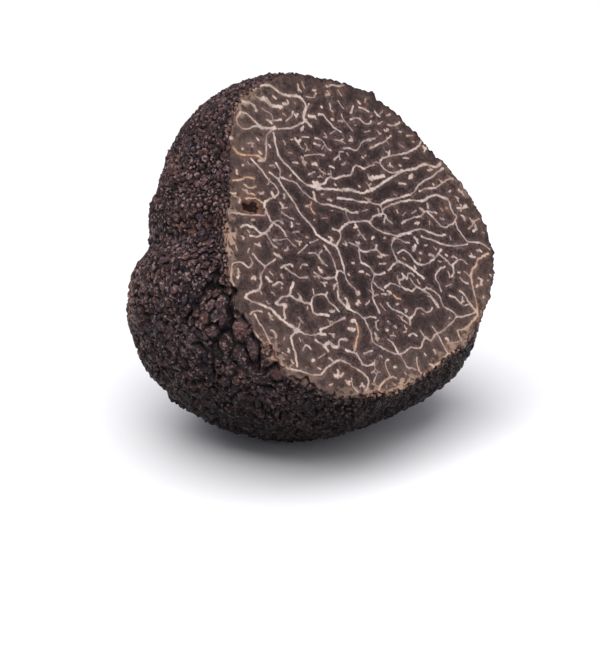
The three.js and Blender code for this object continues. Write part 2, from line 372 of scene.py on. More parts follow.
def skin_parts(dirs, faces, left, right, rng):
    """Directions, lifts and triangles of the warty skin, with rise and tint for colouring it."""
    side_face = np.arange(faces.size) // 3
    tail, head = faces.ravel()[left], faces.ravel()[right]
    apart = np.linalg.norm(dirs[tail] - dirs[head], axis=-1) * BALL_RADIUS
    nearest = np.full(len(dirs), 9.0)
    total, count = np.zeros(len(dirs)), np.zeros(len(dirs))
    for owner in (tail, head):
        np.minimum.at(nearest, owner, apart)
        np.add.at(total, owner, apart)
        np.add.at(count, owner, 1)
    width = np.minimum(total / count, WIDEST * nearest)
    tint = rng.uniform(0, 1, len(dirs))
    vigour = rng.uniform(*VIGOUR, len(dirs))
    lean = rng.normal(0, LEAN, (len(dirs), 3))

    corner = unit(dirs[faces].mean(1))
    corner_width = width[faces].mean(1)
    chance = rng.uniform(0, 1, len(left))
    openness = smoothstep(chance, GROWN_SHUT - HALF_SHUT, GROWN_SHUT + HALF_SHUT)
    corner_open = np.zeros(len(faces))
    for side in (left, right):
        np.maximum.at(corner_open, side_face[side], openness)
    corner_lift = -GROOVE_DEPTH * corner_width * rng.uniform(*CORNER_DEPTHS, len(faces)) * corner_open
    middle = unit(corner[side_face[left]] + corner[side_face[right]])
    side_width = (width[tail] + width[head]) / 2
    across = dirs[tail] - dirs[head]
    middle = unit(middle + across * rng.uniform(-GROOVE_SHIFT, GROOVE_SHIFT, (len(left), 1)))
    deepening = GROOVE_DEPTH * rng.uniform(*MIDDLE_DEPTHS, len(left))
    middle_lift = side_width * (SHUT_LIFT - (SHUT_LIFT + deepening) * openness)

    def shoulder(owner, foot, share):
        """A point a share of the way from a wart's middle to a point of its groove."""
        at = unit(dirs[owner] + share[:, None] * (foot - dirs[owner]))
        tilt = (lean[owner] * (at - dirs[owner])).sum(-1) * BALL_RADIUS
        rough = rng.uniform(*ROUGH, len(owner))
        return at, width[owner] * SHOULDER_HEIGHT * rough + tilt

    corner_owner = faces.ravel()
    at_corner = shoulder(corner_owner, corner[side_face], rng.uniform(*CORNER_SHOULDER, faces.size))
    at_tail = shoulder(tail, middle, rng.uniform(*SIDE_SHOULDER, len(left)))
    at_head = shoulder(head, middle, rng.uniform(*SIDE_SHOULDER, len(left)))
    shift = rng.uniform(-CROWN_SHIFT, CROWN_SHIFT, dirs.shape)
    crown = unit(dirs + shift * nearest[:, None] / BALL_RADIUS)
    crown_lift = width * CROWN_HEIGHT * vigour

    blocks = [(crown, crown_lift), (corner, corner_lift), (middle, middle_lift),
              at_corner, at_tail, at_head]
    rises = [CROWN_RISE, CORNER_RISE * (1 - corner_open), MIDDLE_RISE * (1 - openness),
             SHOULDER_RISE, SHOULDER_RISE, SHOULDER_RISE]
    owners = [np.arange(len(dirs)), None, None, corner_owner, tail, head]
    start = np.cumsum([0] + [len(block[0]) for block in blocks])
    rise = np.concatenate([r + np.zeros(len(block[0])) for block, r in zip(blocks, rises)])
    tints = [np.full(len(block[0]), GROOVE_TINT) if owner is None else tint[owner]
             for block, owner in zip(blocks, owners)]

    def wedge(owner, far_side, near_side, flank):
        """Six triangles of one wart over one groove; owner's corner starts near_side in its face."""
        groove_far, groove_near = start[1] + side_face[far_side], start[1] + side_face[near_side]
        own_near = start[3] + near_side
        own_far = start[3] + far_side // 3 * 3 + (far_side % 3 + 1) % 3
        mid = start[2] + np.arange(len(left))
        return np.concatenate([np.stack(t, -1) for t in (
            (own_far, groove_far, mid), (own_far, mid, flank), (flank, mid, groove_near),
            (flank, groove_near, own_near), (owner, own_far, flank), (owner, flank, own_near))])

    triangles = np.concatenate([
        wedge(tail, right, left, start[4] + np.arange(len(left))),
        wedge(head, left, right, start[5] + np.arange(len(left)))])
    all_dirs = np.concatenate([block[0] for block in blocks])
    lifts = np.concatenate([block[1] for block in blocks])
    return all_dirs, lifts, triangles, rise, np.concatenate(tints)


skin_dirs, skin_lifts, skin_triangles, skin_rise, skin_tint = skin_parts(
    wart_dirs, wart_faces, left_side, right_side, rng)
skin_lifts += sum(rumple(skin_dirs, rng, *swell) for swell in SWELLS)
ridges = rumple(skin_dirs, rng, *RIDGES, RIDGE_PULL * ALONG_LOBE)
skin_lifts += lobe_share(skin_dirs, RIDGE_EDGE) * ridges
pressed = smoothstep(-np.abs(angle_beyond_rim(skin_dirs)), *RIM_PRESSED)
skin_lifts *= 1 - (1 - RIM_RELIEF) * pressed
for level, uphill, height, spread in NICKS.values():
    spot = unit(CUT_MIDDLE + level * CUT_LEVEL + uphill * CUT_UPHILL - BALL_CENTRE)
    skin_lifts += height * np.exp((skin_dirs @ spot - 1) * 2 * (BALL_RADIUS / spread) ** 2)
for path in CRACKS:
    chain = direction(*np.array(path).T)
    opened = np.exp(-((distance_to_chain(skin_dirs, chain) * BALL_RADIUS / CRACK_WIDTH) ** 2))
    skin_lifts -= CRACK_DEPTH * opened
    skin_rise *= 1 - CRACK_SHADE * opened
skin_points = BALL_CENTRE + (body_radius(skin_dirs) + skin_lifts)[:, None] * skin_dirs
skin_points[:, 2] = np.maximum(skin_points[:, 2], 0)
print(len(skin_points), "points and", len(skin_triangles), "triangles of skin before the cut")

# %% [markdown]
# ## The cut
#
# A knife goes straight through warts and flesh, so the warty skin is simply split by the cut plane
# and what lies beyond it is dropped. Splitting the real triangles, rather than drawing a rim curve,
# gives the cut its true edge: every wart and groove that it crosses shows as a small notch.

# %% Split the skin
def split_by_cut(points, triangles, values):
    """Keeps what is below the cut. Returns points, triangles and the values carried to new points."""
    mesh = bpy.data.meshes.new("uncut_skin")
    mesh.from_pydata(points, [], triangles)
    for name, column in values.items():
        mesh.attributes.new(name, "FLOAT", "POINT").data.foreach_set("value", column)
    work = bmesh.new()
    work.from_mesh(mesh)
    everything = work.verts[:] + work.edges[:] + work.faces[:]
    bmesh.ops.bisect_plane(work, geom=everything, dist=1e-4, plane_co=CUT_MIDDLE,
                           plane_no=CUT_NORMAL, clear_outer=True)
    bmesh.ops.triangulate(work, faces=[face for face in work.faces if len(face.verts) > 3])
    work.to_mesh(mesh)
    work.free()
    kept = np.empty(len(mesh.vertices) * 3)
    mesh.vertices.foreach_get("co", kept)
    corners = np.empty(len(mesh.polygons) * 3, int)
    mesh.loops.foreach_get("vertex_index", corners)
    carried = {}
    for name in values:
        carried[name] = np.empty(len(mesh.vertices))
        mesh.attributes[name].data.foreach_get("value", carried[name])
    bpy.data.meshes.remove(mesh)
    return kept.reshape(-1, 3), corners.reshape(-1, 3), carried


def open_edges(triangles):
    """Directed sides that no other triangle runs along the other way."""
    tail, head = triangles.ravel(), np.roll(triangles, -1, axis=1).ravel()
    size = triangles.max() + 1
    alone = ~np.isin(tail * size + head, head * size + tail)
    return tail[alone], head[alone]


skin_points, skin_triangles, skin_values = split_by_cut(
    skin_points, skin_triangles, {"rise": skin_rise, "tint": skin_tint})
rim_tail, rim_head = open_edges(skin_triangles)
print(len(skin_triangles), "triangles of skin, and", len(rim_tail), "edges round the cut")

# %% [markdown]
# ## The veins
#
# The pale veins are sterile threads that part the dark spore-bearing flesh into pockets. They branch
# and meet like streets on a map, and short stray ends stand in between. The big streets give this
# cut its look, so they are drawn one by one as chains of points; only the smallest strays are left
# to chance. Positions are millimetres from the middle of the cut, first level to the right and then
# uphill, written as one run of numbers for each vein.

# %% The drawn veins: width in mm, tone (0 cream to 1 tan) and chain
VEINS = {
    "top left": [
        (0.6, 0.3, [-10, 28.8, -8, 29.4]),
        (0.75, 0.1, [-12.2, 27.6, -10.8, 27.2, -10, 26.6, -9.8, 25.6]),
        (0.6, 0, [-9, 29.2, -6.5, 29.6, -4.6, 29.3, -3.2, 27.8, -1.8, 27, 0.6, 26.4, 1.5, 25.4,
                  1.5, 24.2, 0.6, 23.3, 0, 22.2, 0.8, 20.6]),
        (1.0, 0, [-7, 27.3, -6, 25.8, -4, 25.2]),
        (0.42, 0, [-8.4, 25.6, -6.8, 24.2, -7, 23.2, -5.2, 23]),
        (1.5, 0, [-7.6, 21.8, -7.2, 21.9]),
        (0.55, 0, [-7.4, 21.8, -10, 22.4, -11.2, 24, -12.4, 25.6, -13.5, 25.9]),
        (0.5, 0, [-7.4, 21.8, -9.5, 21, -10.5, 19.5, -11.5, 17.5, -12.5, 16.7, -13.5, 17]),
        (0.7, 1, [-12.4, 17, -13.5, 17.8, -15, 18.2, -17, 18.9, -17.6, 20]),
        (0.5, 0, [-7.4, 21.8, -4.5, 21.2, -2, 21.4, 0, 21.8]),
        (0.52, 0, [-8, 21, -8.4, 19.5, -8.8, 17.5, -8.6, 16.2, -7.6, 14.6, -6.8, 13, -6, 11.6,
                   -4.8, 10.6, -3.5, 10.1]),
        (0.42, 0, [-13.2, 25.9, -14.6, 24.9, -14.9, 24, -14.2, 23, -13, 22.7, -11.3, 22.9,
                   -10, 22.2]),
        (0.4, 0, [-13.2, 25.9, -12.2, 25.4, -11.2, 24, -10.4, 22.7, -9.6, 22.3]),
        (0.42, 0, [-6.4, 17.2, -5.8, 16.8]),
        (0.5, 0.2, [-4.8, 19.2, -4.4, 19.1]),
        (0.38, 0, [-3.3, 17.6, -2.8, 17]),
        (0.4, 0, [-4.2, 22.6, -2.6, 23.2, -1.8, 24]),
        (0.38, 0, [-6.4, 15.2, -5.4, 15]),
        (0.38, 0, [-4, 12.5, -2.4, 12.7]),
        (0.38, 0, [-2, 19.2, -0.6, 18.8]),
    ],
    "left": [
        (0.5, 0.1, [-15, 17.6, -14.3, 16.5, -13.6, 15, -13, 13.3, -12.2, 12.3, -11.9, 11.2,
                    -12.3, 10.5, -14, 10.2, -15.8, 9.7, -16.1, 8.6, -16.1, 7.6, -15.8, 6.3,
                    -14.9, 5.4, -14.3, 4.4, -14, 3.3]),
        (0.45, 0, [-12.2, 14.6, -11.2, 13.4, -10.5, 13.2, -9.8, 14.4, -10, 15.8]),
        (0.55, 0, [-11, 13.2, -10.6, 11.5, -10, 9.8, -9.5, 8.2, -9.1, 6.4, -8.6, 5.2, -7.8, 3.8,
                   -7.4, 2.2, -6.6, 1.2, -5.4, 0.2, -4.2, -0.9]),
        (0.5, 0, [-10, 13.2, -9, 12.5, -8, 12, -7.2, 11.2, -6.8, 10, -6, 9, -5, 7.9, -4, 7.1,
                  -2, 6.4, -0.5, 5.6, 1, 4.9, 2.4, 4, 3.6, 3.9]),
        (0.45, 0.2, [-24, 9.7, -22, 9.1, -20, 8.4, -18, 8, -16.8, 7.6, -16.3, 8.3]),
        (0.5, 0, [-22.6, 6.9, -21.4, 6.9, -20, 6.2, -19.3, 5.2, -18.4, 4.7, -17, 5.3, -16, 5.8]),
        (0.42, 0, [-21.5, 5, -20, 4.5, -18.6, 4.8]),
        (0.8, 0, [-17.3, 5, -17.1, 5]),
        (0.42, 0, [-18, 4.8, -17.8, 3.4, -17.4, 2.2, -17, 1.9]),
        (0.42, 0, [-17, 3.2, -15.2, 2.9, -14, 2.7, -13.5, 1.8, -12.8, 1.2]),
        (0.42, 0, [-15.5, 6, -14.4, 6.2, -13.6, 5.5]),
        (0.5, 0.8, [-20.5, 14.8, -19, 14.5, -17.5, 14.7, -16, 14.2]),
        (0.45, 0.7, [-18.5, 13.6, -17.5, 12.8, -16.3, 12.8]),
        (0.4, 0.8, [-18.8, 12.2, -17.2, 11.4]),
        (0.7, 0.2, [-17.3, 16.8, -17.1, 16.8]),
        (1.1, 0.3, [-17.5, 21.9, -17.3, 21.9]),
        (0.45, 0.5, [-23, 12.9, -21, 12.5]),
        (0.4, 1, [-21.6, 12.1, -20.4, 11.7]),
        (0.45, 0.9, [-19.4, 11.3, -18.2, 11.1, -17, 10.6, -16.2, 9.7]),
        (0.4, 0, [-12.6, 8, -11.5, 7.9]),
        (0.38, 0, [-12.9, 7.4, -12, 6.3, -11, 5.8]),
        (0.38, 0, [-12.3, 3.6, -11, 3.4]),
        (0.38, 0, [-10.8, 4.8, -10.2, 4.6]),
        (0.38, 0.2, [-22.6, 3, -23.3, 2.4]),
        (0.42, 0.9, [-5.8, 7.7, -6.4, 6.8, -6, 5.6]),
        (0.38, 0, [-4.8, 4.5, -3.6, 4.4]),
    ],
    "middle": [
        (1.5, 0, [-3.2, 10.2, -3, 10.4]),
        (0.5, 0, [-3, 10.3, -1.3, 10.3, -0.4, 10.9, 0.6, 11.1, 1.8, 10.6, 3.5, 10.7, 5.2, 10.5,
                  6.2, 11.2, 7.2, 11.9, 8, 11.7, 9, 11]),
        (0.62, 0, [-3.4, 9.7, -1, 9.2, 1.5, 8.5, 4, 8, 6, 7, 8, 6.9, 10, 7.2, 12, 7.6, 14, 8.1,
                   16, 8.4, 18, 8.7, 21, 8.7, 24, 8.9, 25.3, 8.3, 26.5, 7.9, 28, 8.3]),
        (0.5, 0, [0.4, 7.2, 2, 6.7, 3.6, 6.2, 5, 5.5, 7, 5, 8.6, 4.3, 9.4, 4, 11, 4.3, 14, 4.3,
                  17, 4.3, 18.5, 4.5, 20, 5.3, 22, 6, 24, 6.2, 26, 6.8, 28, 7.3]),
        (0.5, 0, [-2.2, 1.6, -0.6, 2.2, 1, 2.5, 3, 2.2, 4.7, 1.9, 5.2, 1.6, 6, 2, 7.5, 2.4,
                  9, 2.4, 9.6, 3, 11, 3.3, 13, 3.5, 16, 3.4, 18, 3.1, 20, 2.5, 21.5, 2.9,
                  23.5, 2.9, 25, 2.2, 26.2, 1.6]),
        (0.4, 0, [9.5, 3.9, 9.3, 2.6, 9.7, 1.8, 9.9, 1, 10.4, 0.2]),
        (0.38, 0, [9.5, 1.7, 8.8, 0.8]),
        (0.38, 0, [1.2, 5, 0.8, 4, 0.9, 3, 1, 2.6]),
        (0.38, 0, [4.8, 3.8, 6, 3.8]),
        (0.9, 0.1, [9.6, 9, 11, 8.9, 13, 8.9]),
        (0.6, 0, [10.5, 13.2, 10.7, 13.2]),
        (0.4, 0, [9.4, 11, 10.4, 11.2, 11.8, 11.2]),
        (0.38, 0, [1.4, 13, 2.4, 12.4]),
        (0.6, 0, [16, 6.8, 17.4, 6.4]),
        (0.45, 0.1, [20, 4.4, 22, 4.5, 24, 4.2, 26, 4.6, 28, 5.1, 29.4, 5]),
        (0.36, 0, [13.6, 1.1, 14.8, 1.4]),
        (0.36, 0, [16, 0.9, 17.4, 1.2]),
        (0.36, 0, [19.4, 11, 20.6, 10.8]),
        (0.4, 0, [2, 0.8, 2.4, 0, 2.9, -1.2]),
    ],
    "top": [
        (0.42, 0, [-3.2, 15.9, -1.5, 15.7, 0, 15.5, 1.2, 15]),
        (0.45, 0, [0.8, 18.5, 2, 17.8, 2.4, 16.8, 2.6, 16, 3.2, 15.7]),
        (0.36, 0, [1.2, 16.3, 2.3, 16.9]),
        (0.4, 0, [3, 13.9, 3.8, 14.2, 4.4, 14.3, 5, 15, 5.8, 14.9]),
        (0.36, 0, [4.6, 14.4, 4.4, 13.6]),
        (0.42, 0, [5, 17.3, 6, 17, 7, 17]),
        (0.36, 0, [6.3, 17, 7, 16.2]),
        (0.45, 0, [7.2, 18.4, 6.4, 19, 5.6, 20.2, 5, 21.4, 4.6, 22.2, 3.6, 22.4]),
        (0.36, 0, [6, 18.9, 4.6, 18.6]),
        (0.8, 0, [0.2, 22, 0.4, 22]),
        (0.36, 0, [2.4, 22.4, 2.8, 21.6]),
        (0.4, 0.1, [1.5, 24, 2.4, 24.6]),
        (0.4, 0.1, [2.6, 26, 4, 25.6, 5, 26.2]),
        (0.38, 0.2, [2.8, 28.8, 2.8, 27.6]),
        (0.38, 0, [7.2, 23.8, 6.8, 22.8, 7.3, 22.3]),
        (0.6, 0, [4.9, 23.6, 5.1, 23.6]),
        (0.38, 0, [9.4, 24, 9.6, 23, 10, 22.4]),
        (0.42, 0, [8.9, 21.5, 8.9, 20.4, 9.4, 19.4, 9.9, 18.2]),
        (0.38, 0.1, [10.4, 26, 10.6, 24.8]),
        (0.42, 0.2, [8, 27, 9.4, 27.1, 11, 26.6, 12.2, 26.7]),
        (0.4, 0, [10.4, 20.2, 11.5, 20.3, 12.4, 20.1, 13.2, 19.2]),
        (0.45, 0, [6.4, 15.4, 7.6, 15.2, 8.6, 14.6, 9.8, 14.8, 11, 15.7, 12.4, 15.8, 13.4, 15.7]),
    ],
    "right": [
        (0.5, 0, [13.5, 11.8, 13.4, 10.8, 14, 9.8, 15, 9.1, 16.4, 8.9, 18, 8.9]),
        (0.42, 0, [13.4, 11.2, 12.6, 11.6, 11.8, 11.7]),
        (0.48, 0, [13.5, 11.6, 14.6, 12, 16, 12, 17.5, 12, 20, 11.8, 22, 12, 24, 12.4, 25.2, 13,
                   26, 13.6]),
        (0.36, 0, [16.2, 12.3, 16.8, 12.9]),
        (0.42, 0, [12.4, 15.9, 13.4, 16, 14.4, 15.8]),
        (0.42, 0, [12.4, 14.3, 14.4, 14.6, 16.4, 14.8, 17.5, 15.2, 18.6, 15.6]),
        (0.36, 0, [17, 15, 17.2, 14.2]),
        (0.4, 0, [19, 17.6, 20.4, 17.3, 22, 17.6]),
        (0.38, 0, [22.4, 14.8, 24, 14.7]),
        (0.42, 0, [13.6, 22, 14.6, 21.6, 15.6, 20.8]),
        (0.4, 0, [12.8, 20, 13.4, 19, 14.4, 18.6, 15.2, 19]),
        (0.38, 0, [16.6, 18.2, 17.8, 18.5]),
        (0.38, 0, [18, 20, 19, 20.4]),
        (0.36, 0, [19.4, 19.4, 20.4, 19.4]),
        (0.38, 0, [12.6, 17.4, 14, 17.4]),
        (0.42, 0, [12.8, -0.3, 14, 0, 16, 0.1, 18, 0, 19.2, 0.5, 20, 0.5, 21, 0.1, 22, -0.2]),
        (0.45, 0.1, [20, 0.3, 20.6, -0.6, 21.2, -1.6, 21.9, -2.8, 22.8, -3.3, 24, -3.1, 25.2, -3,
                     26, -2.4, 26.6, -2, 26.2, -1.2, 26, 0, 26.2, 1, 25.6, 2]),
        (1.1, 0.8, [24.9, 0, 25.1, 0]),
        (1.1, 0.1, [29.9, -0.6, 30.1, -0.6]),
        (0.45, 0.1, [25.9, -2.6, 25.7, -4, 26.2, -5.6, 26.6, -6.6, 27.3, -7.2, 28.4, -7.4,
                     29.8, -7.9, 30.8, -8.6, 31.6, -9.6]),
        (0.4, 0.2, [28.4, -4.8, 29.6, -4.4, 30.6, -3.8, 32, -3.6]),
    ],
    "lower right": [
        (0.48, 0, [11, -2.1, 13, -2.3, 14.4, -2.2, 16.4, -2.2, 17.6, -2.7, 19, -3.6, 20.4, -4.3,
                   22, -4.6]),
        (0.45, 0, [16.2, -3.6, 17.2, -4.2, 18.6, -4.9, 20.2, -6, 21.6, -6.5, 23.2, -7, 25, -7.3,
                   26.6, -7.4]),
        (0.95, 0, [13.8, -4.8, 13, -5.4]),
        (0.8, 0, [14.3, -6.4, 14.5, -6.4]),
        (0.48, 0, [12.2, -7.4, 12.8, -8.2, 14.4, -8.6, 16.4, -8.3, 18, -7.7, 18.9, -7.2,
                   19.6, -6.9]),
        (0.45, 0, [18.6, -7.6, 19.8, -9, 20.4, -10, 20.8, -10.6, 20.4, -11.6, 19.4, -12.2]),
        (0.42, 0, [20.8, -10.2, 22, -9.8, 23.2, -9.7, 24, -10.1, 24.4, -10.9]),
        (0.45, 0, [15.6, -14, 15.7, -12.6, 15.5, -11.4, 16.2, -10.7, 17.4, -10.2, 18.8, -10.1]),
        (0.38, 0, [17.2, -13.5, 18.8, -13.4]),
        (0.5, 0, [12.4, -12.6, 13.4, -13.2, 14.2, -14, 14.7, -15, 14.6, -16.4, 15.2, -17.2,
                  16.2, -18, 16.8, -19, 17.4, -19.5, 20, -19.7, 22, -19.6]),
        (0.42, 0.1, [16.8, -19.2, 15, -20, 13, -20.6, 11.6, -20.9]),
        (0.4, 0, [12, -14, 12.8, -15, 13.2, -16.4]),
        (0.42, 0, [17.2, -15.3, 18.4, -16, 19, -17.2, 19.8, -17.8, 21, -18, 21.8, -19.2]),
        (0.42, 0.1, [20, -15, 20.8, -16, 21.1, -17.4, 21.7, -18.6, 22.2, -19.6]),
        (0.6, 0.6, [22.2, -20, 22.6, -19, 23.1, -17.6, 23.4, -16, 23.8, -14.6, 24.2, -13.2,
                    25.2, -12.2, 26.6, -11.6, 27.4, -10.8, 29, -10.5, 30.8, -10.3]),
        (0.4, 0.2, [23, -12, 23.8, -12.8, 24.2, -13.4]),
        (0.4, 0, [21.4, -12.8, 22, -13.8, 22.8, -14.3]),
        (0.7, 0.5, [15.6, -21.6, 18, -21.8, 20, -21, 22, -20.4]),
        (0.4, 0.3, [15.6, -21.8, 15.6, -23.6]),
        (0.42, 0.4, [12, -23.2, 13.4, -23.4, 15, -23.6]),
        (0.7, 0.4, [25.1, -17.6, 25.3, -17.6]),
        (0.7, 0.4, [25.9, -15.2, 26.1, -15.2]),
        (0.6, 0.4, [27.9, -15, 28.1, -15]),
    ],
    "lower middle": [
        (0.42, 0, [-4.2, -0.9, -3, 0, -2.2, 0.7, -2.4, 1.6, -3.4, 2.3]),
        (0.5, 0, [-4.1, -1, -4.1, -2, -4.3, -4, -4.7, -5.6, -4.8, -7, -4.4, -8, -3.8, -8.8,
                  -3.6, -9.6]),
        (0.9, 0, [-3.7, -9.7, -3.5, -9.7]),
        (0.38, 0, [-9.5, 1, -7.6, 1.2]),
        (0.42, 0, [-6.8, -0.2, -6.2, -1.6, -6.1, -3, -6.2, -4.6, -5.8, -5, -5.2, -5.2,
                   -4.8, -5.6]),
        (0.55, 0, [-6.1, -5, -6.9, -5.9, -7.1, -7, -7.5, -7.8, -8, -8.8, -8.1, -9.8, -7.6, -10.8,
                   -6.6, -12, -5.4, -13, -4.5, -14.1, -4.3, -15.6, -4.2, -16.8, -4.5, -18.3,
                   -3.6, -19.4, -2.2, -20.6, -0.8, -21.6, 0.2, -22, 0.6, -23.4, 0.8, -24.6,
                   2.2, -25.2, 3.2, -26, 3.4, -27]),
        (0.38, 0, [-8.6, -5.7, -7.2, -5.9]),
        (0.38, 0, [-9, -2, -8.6, -1.2, -7.6, -0.8]),
        (0.38, 0, [-8.6, -2.4, -8.4, -3, -7.9, -3.6]),
        (0.42, 0, [-0.2, -4.8, 0.2, -3.4, 0.6, -2.2, 0.6, -1]),
        (0.8, 0, [0.9, -1.4, 1.1, -1.4]),
        (0.4, 0, [-1, -0.8, 0.4, -1.8]),
        (0.42, 0, [0.6, -2.6, 1.6, -3.2, 3.2, -3.3, 4.4, -3.3, 4.8, -2.7]),
        (0.38, 0, [4.6, -3.4, 5.2, -4.6, 6.6, -5]),
        (0.45, 0, [-0.2, -4.8, 0.8, -5.4, 1.4, -6.2, 1.7, -7.4, 0.9, -8.4, 0.1, -9.2,
                   -0.2, -10.4, -0.8, -11.6, -0.6, -12.6, -0.6, -14]),
        (0.38, 0, [-0.4, -11, 0.8, -11]),
        (0.38, 0, [-1.6, -11.6, -2.8, -12]),
        (0.42, 0, [1.7, -7.4, 3, -7.8, 4.2, -7.7]),
        (0.42, 0, [5.2, -7.6, 6.6, -7, 8, -6.6, 8.6, -6.6]),
        (0.4, 0, [1, -8.8, 1.4, -9.8, 2.4, -10.6]),
        (0.48, 0, [12.6, -10.8, 12, -10, 11, -8.8, 9.8, -7.6, 8.5, -6.6, 8.2, -6.4, 8.1, -5,
                   8.1, -3.8, 8.9, -2.9, 9.6, -2.4]),
        (0.5, 0, [5.3, 1.4, 6.2, 0.2, 7.4, -0.8, 8.8, -1.5, 9.6, -1.8, 10.8, -2.4, 12.4, -2.2,
                  14, -2.3]),
        (0.4, 0, [9.6, -2.4, 10.6, -2.8, 11.6, -3.6, 12.6, -4]),
        (0.42, 0, [9, -5.2, 10.4, -4.9, 11.4, -5.6, 12, -6.8, 12.4, -7.6, 13.2, -8.2]),
        (0.38, 0, [4, -6, 5.4, -6.3]),
        (0.6, 0, [-1.4, -6.2, -0.6, -6.4]),
        (0.5, 0, [3, -10.2, 4.6, -9.9, 6, -10.6, 7.4, -11.6, 8.8, -12.2, 10.2, -12, 11.6, -13,
                  12.6, -14, 13.4, -15.6, 13.4, -16.6]),
        (0.8, 0, [11.5, -12.8, 11.7, -12.8]),
        (0.38, 0, [9.6, -10, 9.8, -11, 10.4, -12]),
        (0.38, 0, [9, -9.8, 9.4, -9.2, 10.4, -9.4, 10.6, -9.9]),
        (0.38, 0, [11.6, -13, 12.4, -12.6, 13.4, -13]),
    ],
    "foot": [
        (0.48, 0, [2.1, -13, 2.6, -14.2, 4, -15, 5, -16, 5.6, -16.9, 5.3, -17.8]),
        (0.45, 0, [5.6, -16.8, 7, -16.4, 8.2, -15.6, 9.2, -15.7, 10, -16.6, 11, -16.8,
                   12, -16.4]),
        (0.4, 0.9, [4.2, -12, 4.6, -12.6, 5.4, -13]),
        (0.38, 0, [0.4, -12.6, 1, -14]),
        (0.42, 0, [-4.4, -14.2, -3, -14.2, -1.8, -14.6]),
        (0.42, 0, [-2.2, -15.4, -2.5, -16.2, -2.4, -16.8]),
        (0.36, 0, [-2.2, -15.4, -1.4, -15.3]),
        (0.7, 0, [-0.5, -17.4, -0.3, -17.4]),
        (0.6, 0, [0.5, -16, 0.7, -16]),
        (0.45, 0, [-1.2, -18.8, -0.4, -19.6, 0, -21, 0.1, -22, 2, -21.9, 3.4, -21.6, 4.4, -22,
                   5.6, -22.2, 6.4, -21.6, 7.4, -21, 8.6, -21.6, 10, -21, 11, -20.9, 13, -20.6]),
        (0.4, 0.1, [10.2, -19.4, 10.6, -20.8, 10.9, -22.4, 11.1, -24, 11.2, -24.8]),
        (0.38, 0, [7, -19.4, 7.4, -20.4, 8, -21]),
        (0.38, 0, [4, -19.6, 5, -19.4, 5.8, -20]),
        (0.5, 0.4, [-7.6, -26.4, -6, -25.6, -4, -25.2, -2.6, -25.6]),
        (0.5, 0.6, [3.4, -26.8, 6, -26.4, 9, -25.6, 11, -25, 14, -25]),
        (0.4, 0.1, [3.2, -26, 3.2, -24.8, 3.8, -23.6]),
        (0.4, 0.1, [-3.8, -25, -3.8, -23.4, -3.6, -22.4, -2.6, -22.2]),
        (0.4, 0.1, [-6.2, -22, -6.3, -23.2, -5.6, -23.8]),
        (0.4, 0.1, [-6.2, -23.6, -7.8, -24.8]),
        (0.38, 0, [-6.2, -22, -5.6, -21.4]),
        (0.4, 0, [-8.8, -21.4, -7.6, -22, -6.2, -22]),
        (0.38, 0, [-9, -19.4, -8.8, -20.4, -8.8, -21.4]),
        (0.42, 0, [-7.4, -19.8, -5.4, -19.8]),
        (0.7, 0.9, [-9, -18.4, -7.8, -17.2, -6.8, -16, -6.6, -14.8]),
    ],
    "lower left": [
        (0.5, 0.1, [-22.4, 2, -21.8, 0.6, -21.1, -0.7, -22.6, -2, -23, -3, -24, -4, -26, -4,
                    -27.2, -4.4]),
        (0.4, 0, [-21.1, -0.7, -20, -0.4, -18.2, 0]),
        (0.4, 0, [-24, -4, -23.8, -4.8]),
        (0.65, 0, [-27.4, -4.6, -26.2, -5.6, -24.6, -6.6, -23.2, -7.6, -22.4, -9, -21.4, -10.4,
                   -20.4, -11.4, -19.6, -12.2]),
        (1.1, 0, [-19.7, -12.3, -19.5, -12.3]),
        (0.48, 0, [-19.4, -12.6, -21.2, -13, -21.6, -14, -21.7, -16, -22.4, -18]),
        (0.5, 0, [-19.2, -12.6, -18, -13.5, -16.8, -14, -15.2, -14.2, -14, -14.6]),
        (0.5, 0, [-14.8, -14, -14.4, -13.5, -13, -13.5, -11, -13.2, -8.6, -13]),
        (0.4, 0, [-19, -12, -18.4, -11.4]),
        (0.48, 0, [-21.6, -7, -20, -6.4, -18.2, -6.4, -17.6, -5.6, -16.4, -4.7]),
        (0.48, 0, [-18.2, -6.4, -17.2, -7.4, -15.6, -8.4, -14.6, -9, -14.7, -10.4, -14, -11,
                   -12.8, -11.3, -11.8, -11.7]),
        (0.42, 0, [-14.4, -8.8, -13.6, -8, -12, -7.8, -10.8, -8.2, -10.2, -8]),
        (0.36, 0, [-13.2, -7.8, -12.8, -6.6]),
        (0.4, 0, [-10.8, -8.3, -10.4, -9.6, -9.6, -10.8, -9.2, -11.6]),
        (0.42, 0, [-21.4, -7.4, -19.6, -7.8, -20.6, -8.6, -21, -9.8]),
        (0.8, 0, [-20.1, -7.9, -19.9, -7.9]),
        (0.42, 0, [-17.7, -1.6, -16.6, -1.4, -15.6, -1.4, -15.2, -1.9]),
        (0.4, 0, [-16.8, -1.8, -16, -2.8, -15.2, -3.6, -14.6, -4.2, -13, -4.4]),
        (0.38, 0, [-13.8, -2.6, -13, -2.2, -12, -2.4]),
        (0.38, 0, [-20.8, -4, -20, -4, -19.2, -3.7, -18.8, -4.3]),
        (0.42, 0, [-11.2, -4, -10.2, -5, -9.2, -5.6, -8, -5.7]),
        (0.38, 0, [-9.2, -0.8, -10.6, -0.6]),
        (0.38, 0, [-9.2, -1, -8.8, -1.6, -8.6, -3]),
        (0.38, 0, [-13, -0.2, -11.6, 0.4, -10.4, 0.8]),
        (0.4, 0.1, [-27.6, -7.4, -26.4, -7.2, -25.2, -7.6]),
        (0.42, 0.1, [-26.8, -7.6, -26.6, -9, -26.2, -10.6, -26.1, -12.4, -26, -13.4]),
        (0.48, 0.2, [-28.6, -2.4, -28.7, -1, -28, 0.2, -27.4, 1.2, -26, 1.4, -25, 0.8, -24.2, 0,
